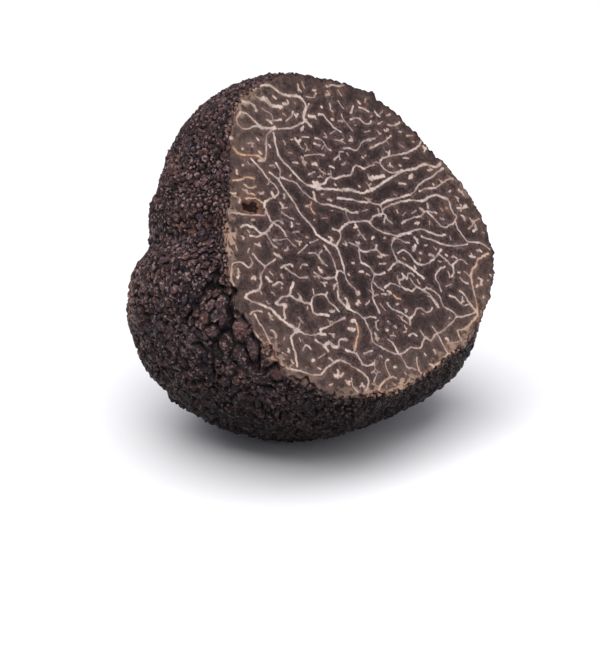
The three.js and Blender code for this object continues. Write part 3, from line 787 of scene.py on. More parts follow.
                     -23.4, 0.4]),
        (0.45, 0.4, [-29, -8, -28.4, -10, -27.6, -12, -27, -13.6]),
        (0.55, 0.1, [-26.4, -16, -24.4, -17.8, -22.8, -18.6, -21, -19.6, -19.6, -20.4, -18, -20.6,
                     -16.8, -20, -15, -19.6, -13.4, -19.4, -12, -20.2, -10.8, -21.4, -9.6, -22.6,
                     -8.8, -23.8, -9, -24.8, -10.2, -25.8]),
        (0.4, 0.1, [-12.2, -23, -12.6, -24.4, -12, -25.6]),
        (0.6, 0, [-16.6, -15, -15.6, -16, -14.8, -17.4]),
        (0.62, 0, [-15.2, -16.4, -14, -16, -13.2, -17, -12.4, -17.2, -11.4, -16.2, -10, -16.6]),
        (0.4, 0, [-20, -15.8, -19, -15.2, -18.2, -16]),
        (0.4, 0.1, [-24.4, -15, -23.6, -15.8]),
        (0.8, 0, [-18.8, -18, -18.6, -18]),
        (0.4, 0, [-17.4, -18, -15.8, -17.6]),
        (0.45, 0, [-11, -18.2, -10, -18.8, -9.2, -19.4, -8.8, -20.6, -8.6, -21.2]),
        (0.45, 0, [-9.2, -18.8, -8, -17.4]),
        (0.7, 0.3, [-15.4, -21.6, -14.4, -22, -13.6, -21.8]),
    ],
}
VEIN_STEP = 0.4  # mm


def smooth_chain(chain):
    """Catmull-Rom curve through a chain's points, with a point about every VEIN_STEP."""
    points = np.array(chain, float).reshape(-1, 2)
    points = np.vstack([2 * points[0] - points[1], points, 2 * points[-1] - points[-2]])
    pieces = [points[1:2]]
    for before, here, after, beyond in zip(points, points[1:], points[2:], points[3:]):
        count = max(1, round(np.hypot(*(after - here)) / VEIN_STEP))
        t = np.arange(1, count + 1)[:, None] / count
        bend, twist = 2 * before - 5 * here + 4 * after - beyond, 3 * here - before - 3 * after + beyond
        pieces.append(0.5 * (2 * here + (after - before) * t + bend * t**2 + twist * t**3))
    return np.concatenate(pieces)


veins = [(width, tone, smooth_chain(chain))
         for group in VEINS.values() for width, tone, chain in group]
print(len(veins), "drawn veins,", round(sum(len(line) for _, _, line in veins) * VEIN_STEP), "mm in all")

# %% [markdown]
# ## The flat face
#
# The face is one flat sheet of small triangles that ends exactly on the edge the knife left. Points
# are set where the veins need them: down the middle of every vein and along both of its sides, with
# an even sprinkling in between. Each point then keeps how deep it lies inside a vein, so the edge of
# a vein is drawn between points and stays sharp. The veins are colour alone: a sharp knife leaves
# them level with the flesh. One small hollow, where the flesh had a pocket, is pressed into the
# sheet, and two waves make its edge ragged.

# %% Points of the face
GRAIN, ROW = 0.75, 0.87  # mm between sprinkled points, and the share of that between their rows
NEAREST = 0.15  # mm that points of the face keep from each other and from the rim
POCKET = (-18.9, 9.6, 2.6, 1.0, 0.9)  # middle, half length, half width and depth, mm
POCKET_LEAN = -0.27  # its slope on the cut
POCKET_WALL = (0.35, 1.0)  # shares of its reach between which its wall rises
POCKET_WAVES = (0.24, 0.18)  # how far two waves push its edge, as shares of its reach
TRIES, TRIES_REACH = 9000, 33  # places tried for strays, and how far out they are tried, mm
STRAYS, STRAY_ROOM, STRAY_GAP = 300, 0.78, 1.2  # most of them, mm to drawn veins and to each other
STRAY_RIM = 0.8  # mm that a stray keeps from the rim
STRAY_WIDTH, STRAY_TONE = (0.22, 0.42), (0, 0.3)  # least and greatest; width in mm
STRAY_HEADING = np.radians(-40)
STRAY_SWING, STRAY_BEND = 0.6, 0.5  # radians that headings differ, and that each step turns
STRAY_STEP, TWIG_STEP = (0.25, 0.36), 0.3  # mm
TWIG_TURN = (0.9, 1.6)  # radians
THINNER = 0.64  # of the drawn width: the rest is the soft edge
KNOB, SHAKE = 0.35, 0.045  # swelling of the ends, and unsteadiness in mm
SWELL, SWELL_LIMITS = 0.45, (0.55, 1.6)  # how much a vein's width varies, and within what shares
JITTER = 0.3  # how far a sprinkled point is moved, for the grain
SHEET, VEIN_CLEAR = 34, 0.5  # mm: half the sprinkled square, and what it keeps from the veins


def on_cut(points):
    """Level and uphill distance of each point from the middle of the cut."""
    return np.stack([(points - CUT_MIDDLE) @ CUT_LEVEL, (points - CUT_MIDDLE) @ CUT_UPHILL], -1)


def gaps(points, starts, ends):
    """Distance from every point to every straight piece. With d the way down a piece's line and L
    its squared length, the share of it is s = d / L kept within 0 to 1, and the squared distance is
    (point - start)^2 - 2 s d + s^2 L, so only dot products are needed."""
    along = ends - starts
    length = np.maximum((along * along).sum(-1), 1e-12)
    down = points @ along.T - (starts * along).sum(-1)
    share = np.clip(down / length, 0, 1)
    square = (points * points).sum(-1)[:, None] - 2 * points @ starts.T + (starts * starts).sum(-1)
    return np.sqrt(np.maximum(square + share * (share * length - 2 * down), 0))


def least_gap(points, starts, ends, scale=1.0):
    """The least distance, each first multiplied by its piece's scale, and the piece it belongs to.
    Works through a thousand points at a time to spare memory."""
    least, owner = [], []
    for block in np.array_split(points, len(points) // 1000 + 1):
        gap = gaps(block, starts, ends) * scale
        owner.append(gap.argmin(1))
        least.append(gap.min(1))
    return np.concatenate(least), np.concatenate(owner)


def inside_rim(points, starts, ends):
    """True where a level ray from the point crosses the rim an odd number of times."""
    x, y = points[:, :1], points[:, 1:]
    straddles = (starts[:, 1] > y) != (ends[:, 1] > y)
    rise = np.where(ends[:, 1] == starts[:, 1], 1, ends[:, 1] - starts[:, 1])
    crossing = starts[:, 0] + (y - starts[:, 1]) * (ends[:, 0] - starts[:, 0]) / rise
    return (straddles & (x < crossing)).sum(1) % 2 == 1


def stray_veins(lines, rim_starts, rim_ends, rng):
    """Short bent threads, most of them lying downhill to the right and many with a side twig, grown
    only where no drawn vein is within reach."""
    tries = rng.uniform(-TRIES_REACH, TRIES_REACH, (TRIES, 2))
    tries = tries[inside_rim(tries, rim_starts, rim_ends)]
    tries = tries[least_gap(tries, rim_starts, rim_ends)[0] > STRAY_RIM]
    starts = np.concatenate([line[:-1] for line in lines])
    ends = np.concatenate([line[1:] for line in lines])
    tries = tries[least_gap(tries, starts, ends)[0] > STRAY_ROOM]
    strays = []
    taken = np.full((1, 2), 99.0)
    for start in tries:
        if len(strays) >= STRAYS or np.hypot(*(taken - start).T).min() < STRAY_GAP:
            continue
        width, tone = rng.uniform(*STRAY_WIDTH), rng.uniform(*STRAY_TONE)
        heading = rng.normal(STRAY_HEADING, STRAY_SWING) + np.cumsum(rng.normal(0, STRAY_BEND, 6))
        steps = np.stack([np.cos(heading), np.sin(heading)], -1) * rng.uniform(*STRAY_STEP)
        line = start + np.concatenate([np.zeros((1, 2)), np.cumsum(steps, 0)])[:rng.integers(2, 7)]
        strays.append((width, tone, line))
        if len(line) > 3:
            fork = len(line) // 2
            turn = heading[fork] + rng.choice([-1, 1]) * rng.uniform(*TWIG_TURN)
            twig = np.arange(rng.integers(2, 4))[:, None] * [np.cos(turn), np.sin(turn)] * TWIG_STEP
            strays.append((width, tone, line[fork] + twig))
        taken = np.vstack([taken, line])
    return strays


veins = [(width * THINNER, tone, line) for width, tone, line in veins]
rim_ids = np.unique(rim_tail)
rim_flat = on_cut(skin_points[rim_ids])
rim_starts, rim_ends = on_cut(skin_points[rim_tail]), on_cut(skin_points[rim_head])
veins += stray_veins([line for _, _, line in veins], rim_starts, rim_ends, rng)


def strip(widths, line):
    """A vein's middle points, then points a full width out on both sides and round both ends."""
    forward = unit(np.gradient(line, axis=0))
    sideways = forward[:, ::-1] * [-1, 1] * widths[:, None]
    turns = np.radians([-60, -20, 20, 60])[:, None]
    ends = ((line[0], widths[0], -forward[0]), (line[-1], widths[-1], forward[-1]))
    caps = [end + wide * (np.cos(turns) * out + np.sin(turns) * out[::-1] * [-1, 1])
            for end, wide, out in ends]
    return np.concatenate([line + sideways, line - sideways, *caps])


def waver(count, rng):
    """Swells and thins along a vein, and more at the two ends of a long one."""
    swell = np.convolve(rng.normal(0, 1, count + 4), np.ones(5) / 5, "valid")
    from_end = np.minimum(np.arange(count), np.arange(count)[::-1])
    knob = KNOB * smoothstep(count, 3, 9) * np.exp(-from_end / 1.2)
    return np.clip(1 + SWELL * swell + knob, *SWELL_LIMITS)


veins = [(width * waver(len(line), rng), tone, line + rng.normal(0, SHAKE, line.shape))
         for width, tone, line in veins]
vein_starts = np.concatenate([line[:-1] for _, _, line in veins])
vein_ends = np.concatenate([line[1:] for _, _, line in veins])
vein_half = np.concatenate([(widths[:-1] + widths[1:]) / 4 for widths, _, _ in veins])
vein_tone = np.concatenate([np.full(len(line) - 1, tone) for _, tone, line in veins])
lattice = np.mgrid[-SHEET:SHEET:GRAIN, -SHEET:SHEET:GRAIN * ROW].reshape(2, -1).T
lattice += rng.uniform(-JITTER, JITTER, lattice.shape) * GRAIN


def sort_out(points, gap):
    """Drops every point that lies within a gap of one before it, by sorting them into small cells."""
    cells = np.floor(points / gap).astype(int)
    _, first = np.unique(cells[:, 0] * 10000 + cells[:, 1], return_index=True)
    return points[np.sort(first)]


vein_points = np.concatenate([line for _, _, line in veins]
                             + [strip(widths, line) for widths, _, line in veins])
vein_points = sort_out(vein_points, NEAREST)
clear_of_veins = least_gap(lattice, vein_starts, vein_ends)[0] > VEIN_CLEAR
face_inner = np.concatenate([vein_points, lattice[clear_of_veins]])
face_inner = face_inner[inside_rim(face_inner, rim_starts, rim_ends)]
face_inner = face_inner[least_gap(face_inner, rim_starts, rim_ends)[0] > NEAREST]
print(len(face_inner), "points inside the rim, and", len(veins), "veins")

# %% [markdown]
# ## One closed lump
#
# The edge is handed to the flat Delaunay routine as a fence that its triangles may not cross, and
# only the triangles inside the fence are kept. Their edge points are the skin's own, so the two
# parts close without a seam.

# %% Face triangles and the join
def face_triangles():
    """Indices into the rim's points followed by the inner ones, for every triangle of the face."""
    flat = np.concatenate([rim_flat, face_inner])
    fence = np.stack([np.searchsorted(rim_ids, rim_head), np.searchsorted(rim_ids, rim_tail)], -1)
    made = delaunay_2d_cdt([Vector(p) for p in flat.tolist()], fence.tolist(), [], 1, 1e-7)
    source = np.array([first[0] if first else -1 for first in made[3]])
    triangles = source[np.array(made[2])]
    a, b, c = (flat[triangles[:, k]] for k in range(3))
    turned = (b[:, 0] - a[:, 0]) * (c[:, 1] - a[:, 1]) < (b[:, 1] - a[:, 1]) * (c[:, 0] - a[:, 0])
    triangles[turned] = triangles[turned][:, ::-1]
    return triangles


flat_triangles = face_triangles()
inner_start = len(skin_points)
to_body = np.concatenate([rim_ids, inner_start + np.arange(len(face_inner))])
pocket_u, pocket_v, pocket_long, pocket_wide, pocket_depth = POCKET
off_level, off_uphill = (face_inner - [pocket_u, pocket_v]).T
off_uphill = off_uphill - POCKET_LEAN * off_level
pocket_reach = np.hypot(off_level / pocket_long, off_uphill / pocket_wide)
level_wave, slanting_wave = np.sin(3.4 * off_level + 2), np.sin(5.3 * off_uphill + 7 * off_level)
pocket_reach += POCKET_WAVES[0] * level_wave + POCKET_WAVES[1] * slanting_wave
sunk = pocket_depth * (1 - smoothstep(pocket_reach, *POCKET_WALL))
inner_points = (CUT_MIDDLE + face_inner[:, :1] * CUT_LEVEL + face_inner[:, 1:] * CUT_UPHILL
                - sunk[:, None] * CUT_NORMAL)
points = np.concatenate([skin_points, inner_points])
triangles = np.concatenate([skin_triangles, to_body[flat_triangles]])
print(len(points), "points,", len(triangles), "triangles,", len(open_edges(triangles)[0]), "open edges")

# %% [markdown]
# ## The object and what it remembers
#
# The mesh carries its own notes for the colours: how high each point of the skin stands between
# groove and crown, two chance numbers for each wart, how worn the skin is there and how torn its lip
# at the cut, how deep a point of the face lies in a vein or in the hollow, how stained the flesh is,
# and how far it is from the rim. A flat map of the whole surface is laid out too, so that the
# colours can later be saved to one picture: the skin unrolls into a disc round the point opposite
# the cut, and the face lies in the free corner as it is.

# %% Wear, veins and the flat map
WORN = {  # turn, rise, spread in degrees, strength
    "rubbed limb of the lobe": (-73, -6, 3.6, 1.0),
    "lower end of it": (-70, -13, 2.6, 0.9),
    "speck over the lobe": (-59, 4, 1.2, 0.8),
    "rubbed warts beside the waist": (-33, 3.5, 1.2, 0.7),
    "rubbed warts under them": (-29, -8, 1.2, 0.6),
    "rubbed warts low down": (-23, -21.5, 1.3, 0.6),
    "specks on the upper skin": (-75, 38, 2.2, 0.7),
    "speck below them": (-58, 22, 1.6, 0.7),
}
STAINS = {  # level and uphill mm on the cut, spread in mm, strength
    "beside the upper left rim": (-14, 20, 5.0, 0.8),
    "round the hollow": (-19.8, 12, 3.6, 0.9),
    "upper end": (-6, 25.5, 5.0, 0.6),
    "left rim": (-23, 3, 3.2, 0.5),
    "cell low on the left": (-15.0, -11.1, 1.3, 1.0),
    "streak below it": (-7.3, -15.8, 1.5, 1.0),
    "crumb between them": (-11.2, -15.4, 0.9, 0.8),
    "junction by the right rim": (25.4, 0.3, 1.7, 1.0),
    "cell in the upper right loop": (15.6, 11.8, 1.5, 0.7),
    "speck left of the middle": (-6.1, 6.6, 0.9, 0.9),
    "speck beside it": (-10.5, 7.7, 0.8, 0.8),
    "lower right rim": (25, -15.5, 4.2, 0.7),
    "lower left rim": (-23.5, -11, 3.6, 0.6),
    "corner under it": (-19, -19, 4.0, 0.6),
    "foot": (-1, -25, 5.0, 0.7),
    "foot to the right": (12, -23, 5.0, 0.6),
}
TAN_EDGE = {  # heading round the cut and spread in degrees, strength
    "left": (168, 14, 1.0),
    "lower left": (212, 12, 0.8),
    "bottom": (262, 22, 1.0),
    "lower right": (308, 16, 0.9),
    "right": (5, 10, 0.5),
    "top": (112, 14, 0.7),
}
HUE_STEP = 9.7  # turns a wart's tint into a second number that seems to have nothing to do with it
LIP = (-2.4, -0.6)  # degrees from the rim where the torn lip of the skin fades out and is full
SHARP_ANGLE = np.radians(14)  # sides bent by more than this are shaded as sharp
SKIN_DISC = (0.33, 0.33, 0.315)  # middle and radius on the unit square
FACE_DISC = (0.735, 0.735, 0.255)
DISC_EDGE = 118.0  # degrees from the middle of the skin that the disc's edge stands for
FACE_REACH = 36.0  # mm from the middle of the cut that the face's disc holds


def vein_depth(points):
    """How deep a point lies in the vein that it is deepest in: 1 on the middle line, 0.5 at the
    edge and 0 at twice that. Gives that vein's tone and width as well."""
    reach, owner = least_gap(points, vein_starts, vein_ends, 0.5 / vein_half)
    return np.clip(1 - reach, 0, 1), vein_tone[owner], 2 * vein_half[owner]


dirs = unit(points - BALL_CENTRE)
wear = np.zeros(len(points))
for turn, rise, spread, strength in WORN.values():
    wear += strength * np.exp((dirs @ direction(turn, rise) - 1) / np.radians(spread) ** 2)

flat = on_cut(points)
on_face = np.zeros(len(points), bool)
on_face[triangles[len(skin_triangles):].ravel()] = True
stain = np.zeros(len(points))
for level, uphill, spread, strength in STAINS.values():
    stain += strength * np.exp(-((flat - [level, uphill]) ** 2).sum(-1) / spread**2)
heading = np.degrees(np.arctan2(flat[:, 1], flat[:, 0]))
crust = np.zeros(len(points))
for middle, spread, strength in TAN_EDGE.values():
    turned = (heading - middle + 180) % 360 - 180
    crust += strength * np.exp(-((turned / spread) ** 2))
no_skin = np.zeros(len(inner_points))
tint = np.concatenate([skin_values["tint"], no_skin])
notes = {
    "rise": np.concatenate([skin_values["rise"], no_skin]),
    "tint": tint,
    "hue": np.where(tint == GROOVE_TINT, GROOVE_TINT, tint * HUE_STEP % 1),
    "wear": wear,
    "vein": np.zeros(len(points)),
    "tone": np.zeros(len(points)),
    "girth": np.zeros(len(points)),
    "stain": np.clip(stain, 0, 1),
    "crust": np.clip(crust, 0, 1),
    "inland": np.zeros(len(points)),
    "rim": np.zeros(len(points)),
    "lip": np.clip(crust, 0, 1) * smoothstep(-angle_beyond_rim(dirs), *LIP),
    "pocket": np.zeros(len(points)),
}
for name, column in zip(("vein", "tone", "girth"), vein_depth(flat[on_face])):
    notes[name][on_face] = column
notes["inland"][on_face] = least_gap(flat[on_face], vein_starts, vein_ends)[0]
notes["rim"][on_face] = least_gap(flat[on_face], rim_starts, rim_ends)[0]
notes["pocket"][inner_start:] = sunk / pocket_depth

away, around = cut_angles(dirs)
skin_reach = (180 - np.degrees(away)) / DISC_EDGE * SKIN_DISC[2]
skin_map = SKIN_DISC[:2] + skin_reach[:, None] * np.stack([np.cos(around), np.sin(around)], -1)
face_map = FACE_DISC[:2] + flat * FACE_DISC[2] / FACE_REACH
corner_map = np.where(np.arange(len(triangles))[:, None, None] < len(skin_triangles),
                      skin_map[triangles], face_map[triangles])

# %% Build the mesh
mesh = bpy.data.meshes.new("truffle_body")
mesh.from_pydata(points * METRES, [], triangles)
for name, column in notes.items():
    mesh.attributes.new(name, "FLOAT", "POINT").data.foreach_set("value", column)
mesh.uv_layers.new(name="OFBake").data.foreach_set("uv", corner_map.ravel())
slot = np.zeros(len(triangles), int)
slot[len(skin_triangles):] = 1
mesh.polygons.foreach_set("material_index", slot)
mesh.polygons.foreach_set("use_smooth", np.ones(len(triangles), bool))
mesh.set_sharp_from_angle(angle=SHARP_ANGLE)
body = bpy.data.objects.new("truffle_body", mesh)
bpy.context.scene.collection.objects.link(body)

a, b, c = (points[triangles[:, k]] for k in range(3))
volume = (a * np.cross(b, c)).sum() / 6000
print("volume", round(volume, 1), "cm3, lowest point", points[:, 2].min().round(3), "mm")

# %% [markdown]
# ## Mottling
#
# Nothing that grows is one even colour. Both materials use the same helper for that: a cloud of
# noise of a given size in millimetres, with its contrast cut to a low and a high mark. It is one
# node group, so that what is learned from it once serves for every use.

# %% A shared group for mottling
mottle_group = bpy.data.node_groups.new("mottle", "ShaderNodeTree")
for name, value in (("Size mm", 1.0), ("Detail", 2.0), ("Low", 0.35), ("High", 0.65), ("Shift", 0.0)):
    socket = mottle_group.interface.new_socket(name, in_out="INPUT", socket_type="NodeSocketFloat")
    socket.default_value = value
mottle_group.interface.new_socket("Mask", in_out="OUTPUT", socket_type="NodeSocketFloat")


def add_node(tree, kind, links=(), **settings):
    """Adds a node, sets its properties, and links or sets its inputs given as (input, source)."""
    node = tree.nodes.new(kind)
    for name, value in settings.items():
        setattr(node, name, value)
    for place, source in links:
        if isinstance(source, bpy.types.NodeSocket):
            tree.links.new(source, node.inputs[place])
        else:
            node.inputs[place].default_value = source
    return node


inputs = mottle_group.nodes.new("NodeGroupInput").outputs
where = add_node(mottle_group, "ShaderNodeTexCoord").outputs["Object"]
scale = add_node(mottle_group, "ShaderNodeMath", [
    (0, 1000.0), (1, inputs["Size mm"])], operation="DIVIDE")
shift = add_node(mottle_group, "ShaderNodeVectorMath", [
    (0, where), (1, inputs["Shift"])], operation="ADD")
cloud = add_node(mottle_group, "ShaderNodeTexNoise", [
    ("Vector", shift.outputs[0]), ("Scale", scale.outputs[0]), ("Detail", inputs["Detail"])])
mask = add_node(mottle_group, "ShaderNodeMapRange", [
    ("Value", cloud.outputs["Fac"]), ("From Min", inputs["Low"]), ("From Max", inputs["High"])])
add_node(mottle_group, "NodeGroupOutput", [("Mask", mask.outputs["Result"])])


def mottle(tree, size, low=0.35, high=0.65, detail=2.0, shift=0.0):
    """One use of the group; its mask is 0 where the noise is under low and 1 where it is over high."""
    use = add_node(tree, "ShaderNodeGroup", node_tree=mottle_group)
    for name, value in (("Size mm", size), ("Detail", detail), ("Low", low), ("High", high),
                        ("Shift", shift)):
        use.inputs[name].default_value = value
    return use.outputs["Mask"]


def noted(tree, name):
    """A value that the mesh carries at each of its points."""
    return add_node(tree, "ShaderNodeAttribute", attribute_name=name).outputs["Fac"]


def math(tree, operation, first, second=0.0, clamp=False):
    """One sum on two values."""
    pairs = [(0, first), (1, second)]
    return add_node(tree, "ShaderNodeMath", pairs, operation=operation, use_clamp=clamp).outputs[0]


def ramp(tree, value, low, high, smooth=True):
    """0 under low, 1 over high."""
    kind = "SMOOTHSTEP" if smooth else "LINEAR"
    pairs = [("Value", value), ("From Min", low), ("From Max", high)]
    return add_node(tree, "ShaderNodeMapRange", pairs, interpolation_type=kind).outputs["Result"]


def mix(tree, factor, first, second):
    """First colour where the factor is 0, second where it is 1; each a colour or a socket."""
    node = add_node(tree, "ShaderNodeMix", data_type="RGBA", clamp_factor=True)
    for place, source in ((0, factor), (6, first), (7, second)):
        if isinstance(source, bpy.types.NodeSocket):
            tree.links.new(source, node.inputs[place])
        else:
            node.inputs[place].default_value = source if place == 0 else (*source, 1)
    return node.outputs[2]


def new_material(name):
    """A new material that uses nodes, with the Principled shader of its default node tree."""
    material = bpy.data.materials.new(name)
    material.use_nodes = True
    return material, material.node_tree, material.node_tree.nodes["Principled BSDF"]


print("mottle takes", [socket.name for socket in mottle_group.interface.items_tree])

# %% [markdown]
# ## Skin
#
# The skin is brown-black. Soil and shade keep the grooves near black, while the crowns are rubbed to
# a greyish brown that leans to mauve in places and to rust in others. Every wart has its own
# depth of colour, and some are rustier or more blue-black than the rest. On a few, the dark coat is
# rubbed through to the tan under it, and where the knife tore the lip of the skin it is tan as well.
# Painted shade makes the skin darker towards the bottom.

# %% The skin material
GROOVE = (0.005, 0.003, 0.004)
BROWN = (0.062, 0.035, 0.034)
MAUVE = (0.067, 0.041, 0.048)
RUST = (0.110, 0.046, 0.038)
# Colour of the painted highlights (glints) on the skin.
GLINT_COLOUR = (0.270, 0.180, 0.165)
TAN = (0.290, 0.160, 0.125)
TORN_EDGE = (0.210, 0.095, 0.066)
FRINGE = (0.430, 0.270, 0.200)
BLUE_BLACK = (0.030, 0.026, 0.036)

skin, tree, shader = new_material("truffle_skin")


def share(factor, part):
    """A mask made weaker."""
    return math(tree, "MULTIPLY", factor, part, clamp=True)


height = noted(tree, "rise")
colour = mix(tree, mottle(tree, 5.0, 0.42, 0.58), BROWN, MAUVE)
colour = mix(tree, share(mottle(tree, 2.2, 0.56, 0.7, shift=3.0), 0.5), colour, RUST)
hue = noted(tree, "hue")
colour = mix(tree, share(ramp(tree, hue, 0.7, 0.95), 0.65), colour, RUST)
colour = mix(tree, share(ramp(tree, hue, 0.3, 0.12), 0.7), colour, BLUE_BLACK)
# Painted shade: the skin is darkened towards the bottom, and fewer painted glints are put there.
above = add_node(tree, "ShaderNodeSeparateXYZ", [
    (0, add_node(tree, "ShaderNodeTexCoord").outputs["Object"])]).outputs["Z"]
underside_shade = ramp(tree, above, 0.036, 0.006)
tone_and_underside_shade = math(tree, "ADD", share(noted(tree, "tint"), 1.0), 0.4)
tone_and_underside_shade = math(tree, "MULTIPLY", tone_and_underside_shade, math(
    tree, "ADD", share(mottle(tree, 0.5, 0.35, 0.65, 3.0, 7.0), 0.8), 0.5))
# Each wart's own tone, times the painted shade towards the bottom.
tone_and_underside_shade = math(tree, "MULTIPLY", tone_and_underside_shade, math(tree, "SUBTRACT", 1.0, share(underside_shade, 0.84)))
tone_and_underside_shade = math(tree, "MULTIPLY", tone_and_underside_shade, math(
    tree, "ADD", share(mottle(tree, 3.0, 0.4, 0.6, 3.0, 24.0), 0.6), 0.7))
shade = add_node(tree, "ShaderNodeVectorMath", [(0, colour)], operation="SCALE")
tree.links.new(tone_and_underside_shade, shade.inputs["Scale"])
# Painted highlights: small pale glints strewn over the skin.
glints = math(tree, "MULTIPLY", mottle(tree, 0.5, 0.55, 0.62, 2.0, 21.0),
              mottle(tree, 3.0, 0.3, 0.5, 2.0, 22.0))
glints = math(tree, "MULTIPLY", glints, math(tree, "SUBTRACT", 1.0, share(underside_shade, 0.8)))
colour = mix(tree, glints, shade.outputs[0], GLINT_COLOUR)
worn = math(tree, "MULTIPLY", noted(tree, "wear"), mottle(tree, 1.0, 0.4, 0.58, shift=5.0))
colour = mix(tree, math(tree, "MULTIPLY", worn, ramp(tree, height, 0.1, 0.8), clamp=True), colour, TAN)
torn_edge = math(tree, "MULTIPLY", noted(tree, "lip"), mottle(tree, 1.1, 0.48, 0.58, 2.0, 23.0))
colour = mix(tree, torn_edge, colour, TORN_EDGE)
fringe = math(tree, "MULTIPLY", noted(tree, "lip"), mottle(tree, 0.9, 0.5, 0.58, 2.0, 25.0))
colour = mix(tree, fringe, colour, FRINGE)
colour = mix(tree, ramp(tree, height, 0.05, 0.9), GROOVE, colour)
tree.links.new(colour, shader.inputs["Base Color"])
shader.inputs["Roughness"].default_value = 0.4
shader.inputs["Specular IOR Level"].default_value = 0.1
bump = add_node(tree, "ShaderNodeBump", [
    ("Strength", 1.0), ("Distance", 0.0004), ("Height", mottle(tree, 0.6, 0.2, 0.8, 4.0, 9.0))])
tree.links.new(bump.outputs["Normal"], shader.inputs["Normal"])
print("skin uses", len(tree.nodes), "nodes")

# %% [markdown]
# ## Flesh
#
# The ripe flesh is dark, purplish brown and grainy with spore sacs, darkest in the middle of each
# pocket. Thick veins are cream, thin ones a greyer pink, and all have slightly ragged edges. Where
# air has reached the flesh, mostly near the rim, it has turned a paler, blotchy brown and the veins
# have rusty borders. The skin itself shows as a thin line along the edge, dark or rusty, and here
# and there a pale band or a few pale patches lie just inside it.

# %% The flesh material
DARK_FLESH = (0.010, 0.006, 0.007)
FLESH = (0.112, 0.070, 0.062)
RED_FLESH = (0.110, 0.054, 0.046)
PALE_FLESH = (0.210, 0.150, 0.132)
STAINED_FLESH = (0.165, 0.120, 0.098)
OUTER_FLESH = (0.150, 0.102, 0.084)
RUSTY_BORDER = (0.180, 0.078, 0.043)
# Colour of the painted shade in the hollow.
HOLLOW_SHADE = (0.022, 0.008, 0.007)
THIN_VEIN = (0.345, 0.260, 0.240)
CREAM = (0.590, 0.480, 0.425)
TAN_VEIN = (0.490, 0.350, 0.255)
PALE_EDGE = (0.430, 0.290, 0.215)
DARK_SKIN, RUSTY_SKIN = (0.022, 0.013, 0.014), (0.150, 0.062, 0.042)

flesh, tree, shader = new_material("truffle_flesh")
depth, stain = noted(tree, "vein"), noted(tree, "stain")
grain = math(tree, "ADD", share(mottle(tree, 0.26, 0.36, 0.64, 2.0), 0.6),
             share(mottle(tree, 0.8, 0.38, 0.62, 3.0, 4.0), 0.4))
colour = mix(tree, grain, DARK_FLESH, FLESH)
colour = mix(tree, share(mottle(tree, 1.8, 0.5, 0.7, 2.0, 11.0), 0.6), colour, RED_FLESH)
pale = math(tree, "MULTIPLY", mottle(tree, 0.7, 0.54, 0.64, 2.0, 12.0),
            mottle(tree, 4.0, 0.4, 0.6, 1.0, 13.0))
colour = mix(tree, share(pale, 0.55), colour, PALE_FLESH)
colour = mix(tree, share(ramp(tree, noted(tree, "inland"), 0.4, 1.1), 0.6), colour, DARK_FLESH)
blotch = math(tree, "MULTIPLY", stain, mottle(tree, 1.0, 0.35, 0.62, 4.0, 14.0), clamp=True)
colour = mix(tree, share(blotch, 0.6), colour, STAINED_FLESH)
colour = mix(tree, share(ramp(tree, depth, 0.02, 0.5), 0.35), colour, PALE_FLESH)
outer = math(tree, "MULTIPLY", ramp(tree, noted(tree, "rim"), 7.0, 0.5),
             mottle(tree, 3.0, 0.3, 0.6, 2.0, 19.0))
outer = math(tree, "MULTIPLY", outer, math(tree, "ADD", grain, 0.3), clamp=True)
colour = mix(tree, share(outer, 0.36), colour, OUTER_FLESH)
soaked = math(tree, "MULTIPLY", outer, mottle(tree, 1.3, 0.5, 0.62, 3.0, 27.0))
colour = mix(tree, share(soaked, 0.6), colour, DARK_FLESH)
colour = mix(tree, share(ramp(tree, noted(tree, "rim"), 8.0, 15.0), 0.16), colour, DARK_FLESH)
tone = math(tree, "ADD", noted(tree, "tone"), share(outer, 0.45), clamp=True)
ragged = math(tree, "MULTIPLY", math(tree, "SUBTRACT", mottle(tree, 0.5, 0.2, 0.8, 3.0, 2.0), 0.5), 0.6)
frayed = math(tree, "ADD", depth, ragged)
rusted = math(tree, "MAXIMUM", tone, math(
    tree, "MULTIPLY", stain, mottle(tree, 1.6, 0.4, 0.6, 2.0, 15.0)))
border = math(tree, "MULTIPLY", ramp(tree, frayed, 0.02, 0.3), rusted)
colour = mix(tree, share(border, 0.85), colour, RUSTY_BORDER)
thread = mix(tree, ramp(tree, noted(tree, "girth"), 0.2, 0.42), THIN_VEIN, CREAM)
thread = mix(tree, tone, thread, TAN_VEIN)
strength = math(tree, "ADD", share(mottle(tree, 1.6, 0.35, 0.6, 2.0, 6.0), 0.55), 0.45)
narrowed = math(tree, "SUBTRACT", frayed, share(rusted, 0.16))
core = math(tree, "MULTIPLY", ramp(tree, narrowed, 0.36, 0.66), strength)
colour = mix(tree, core, colour, thread)
sunk = noted(tree, "pocket")
# One mask for the hollow: its torn rusty edge, and the painted shade in its floor.
torn_and_shaded = math(tree, "ADD", sunk, share(math(tree, "MULTIPLY", mottle(tree, 0.5, 0.3, 0.7, 2.0, 18.0),
                                        ramp(tree, sunk, 0.0, 0.1)), 0.3))
colour = mix(tree, ramp(tree, torn_and_shaded, 0.2, 0.34), colour, RUSTY_BORDER)
# Painted shade: the floor of the hollow is painted near black.
colour = mix(tree, ramp(tree, torn_and_shaded, 0.4, 0.7), colour, HOLLOW_SHADE)

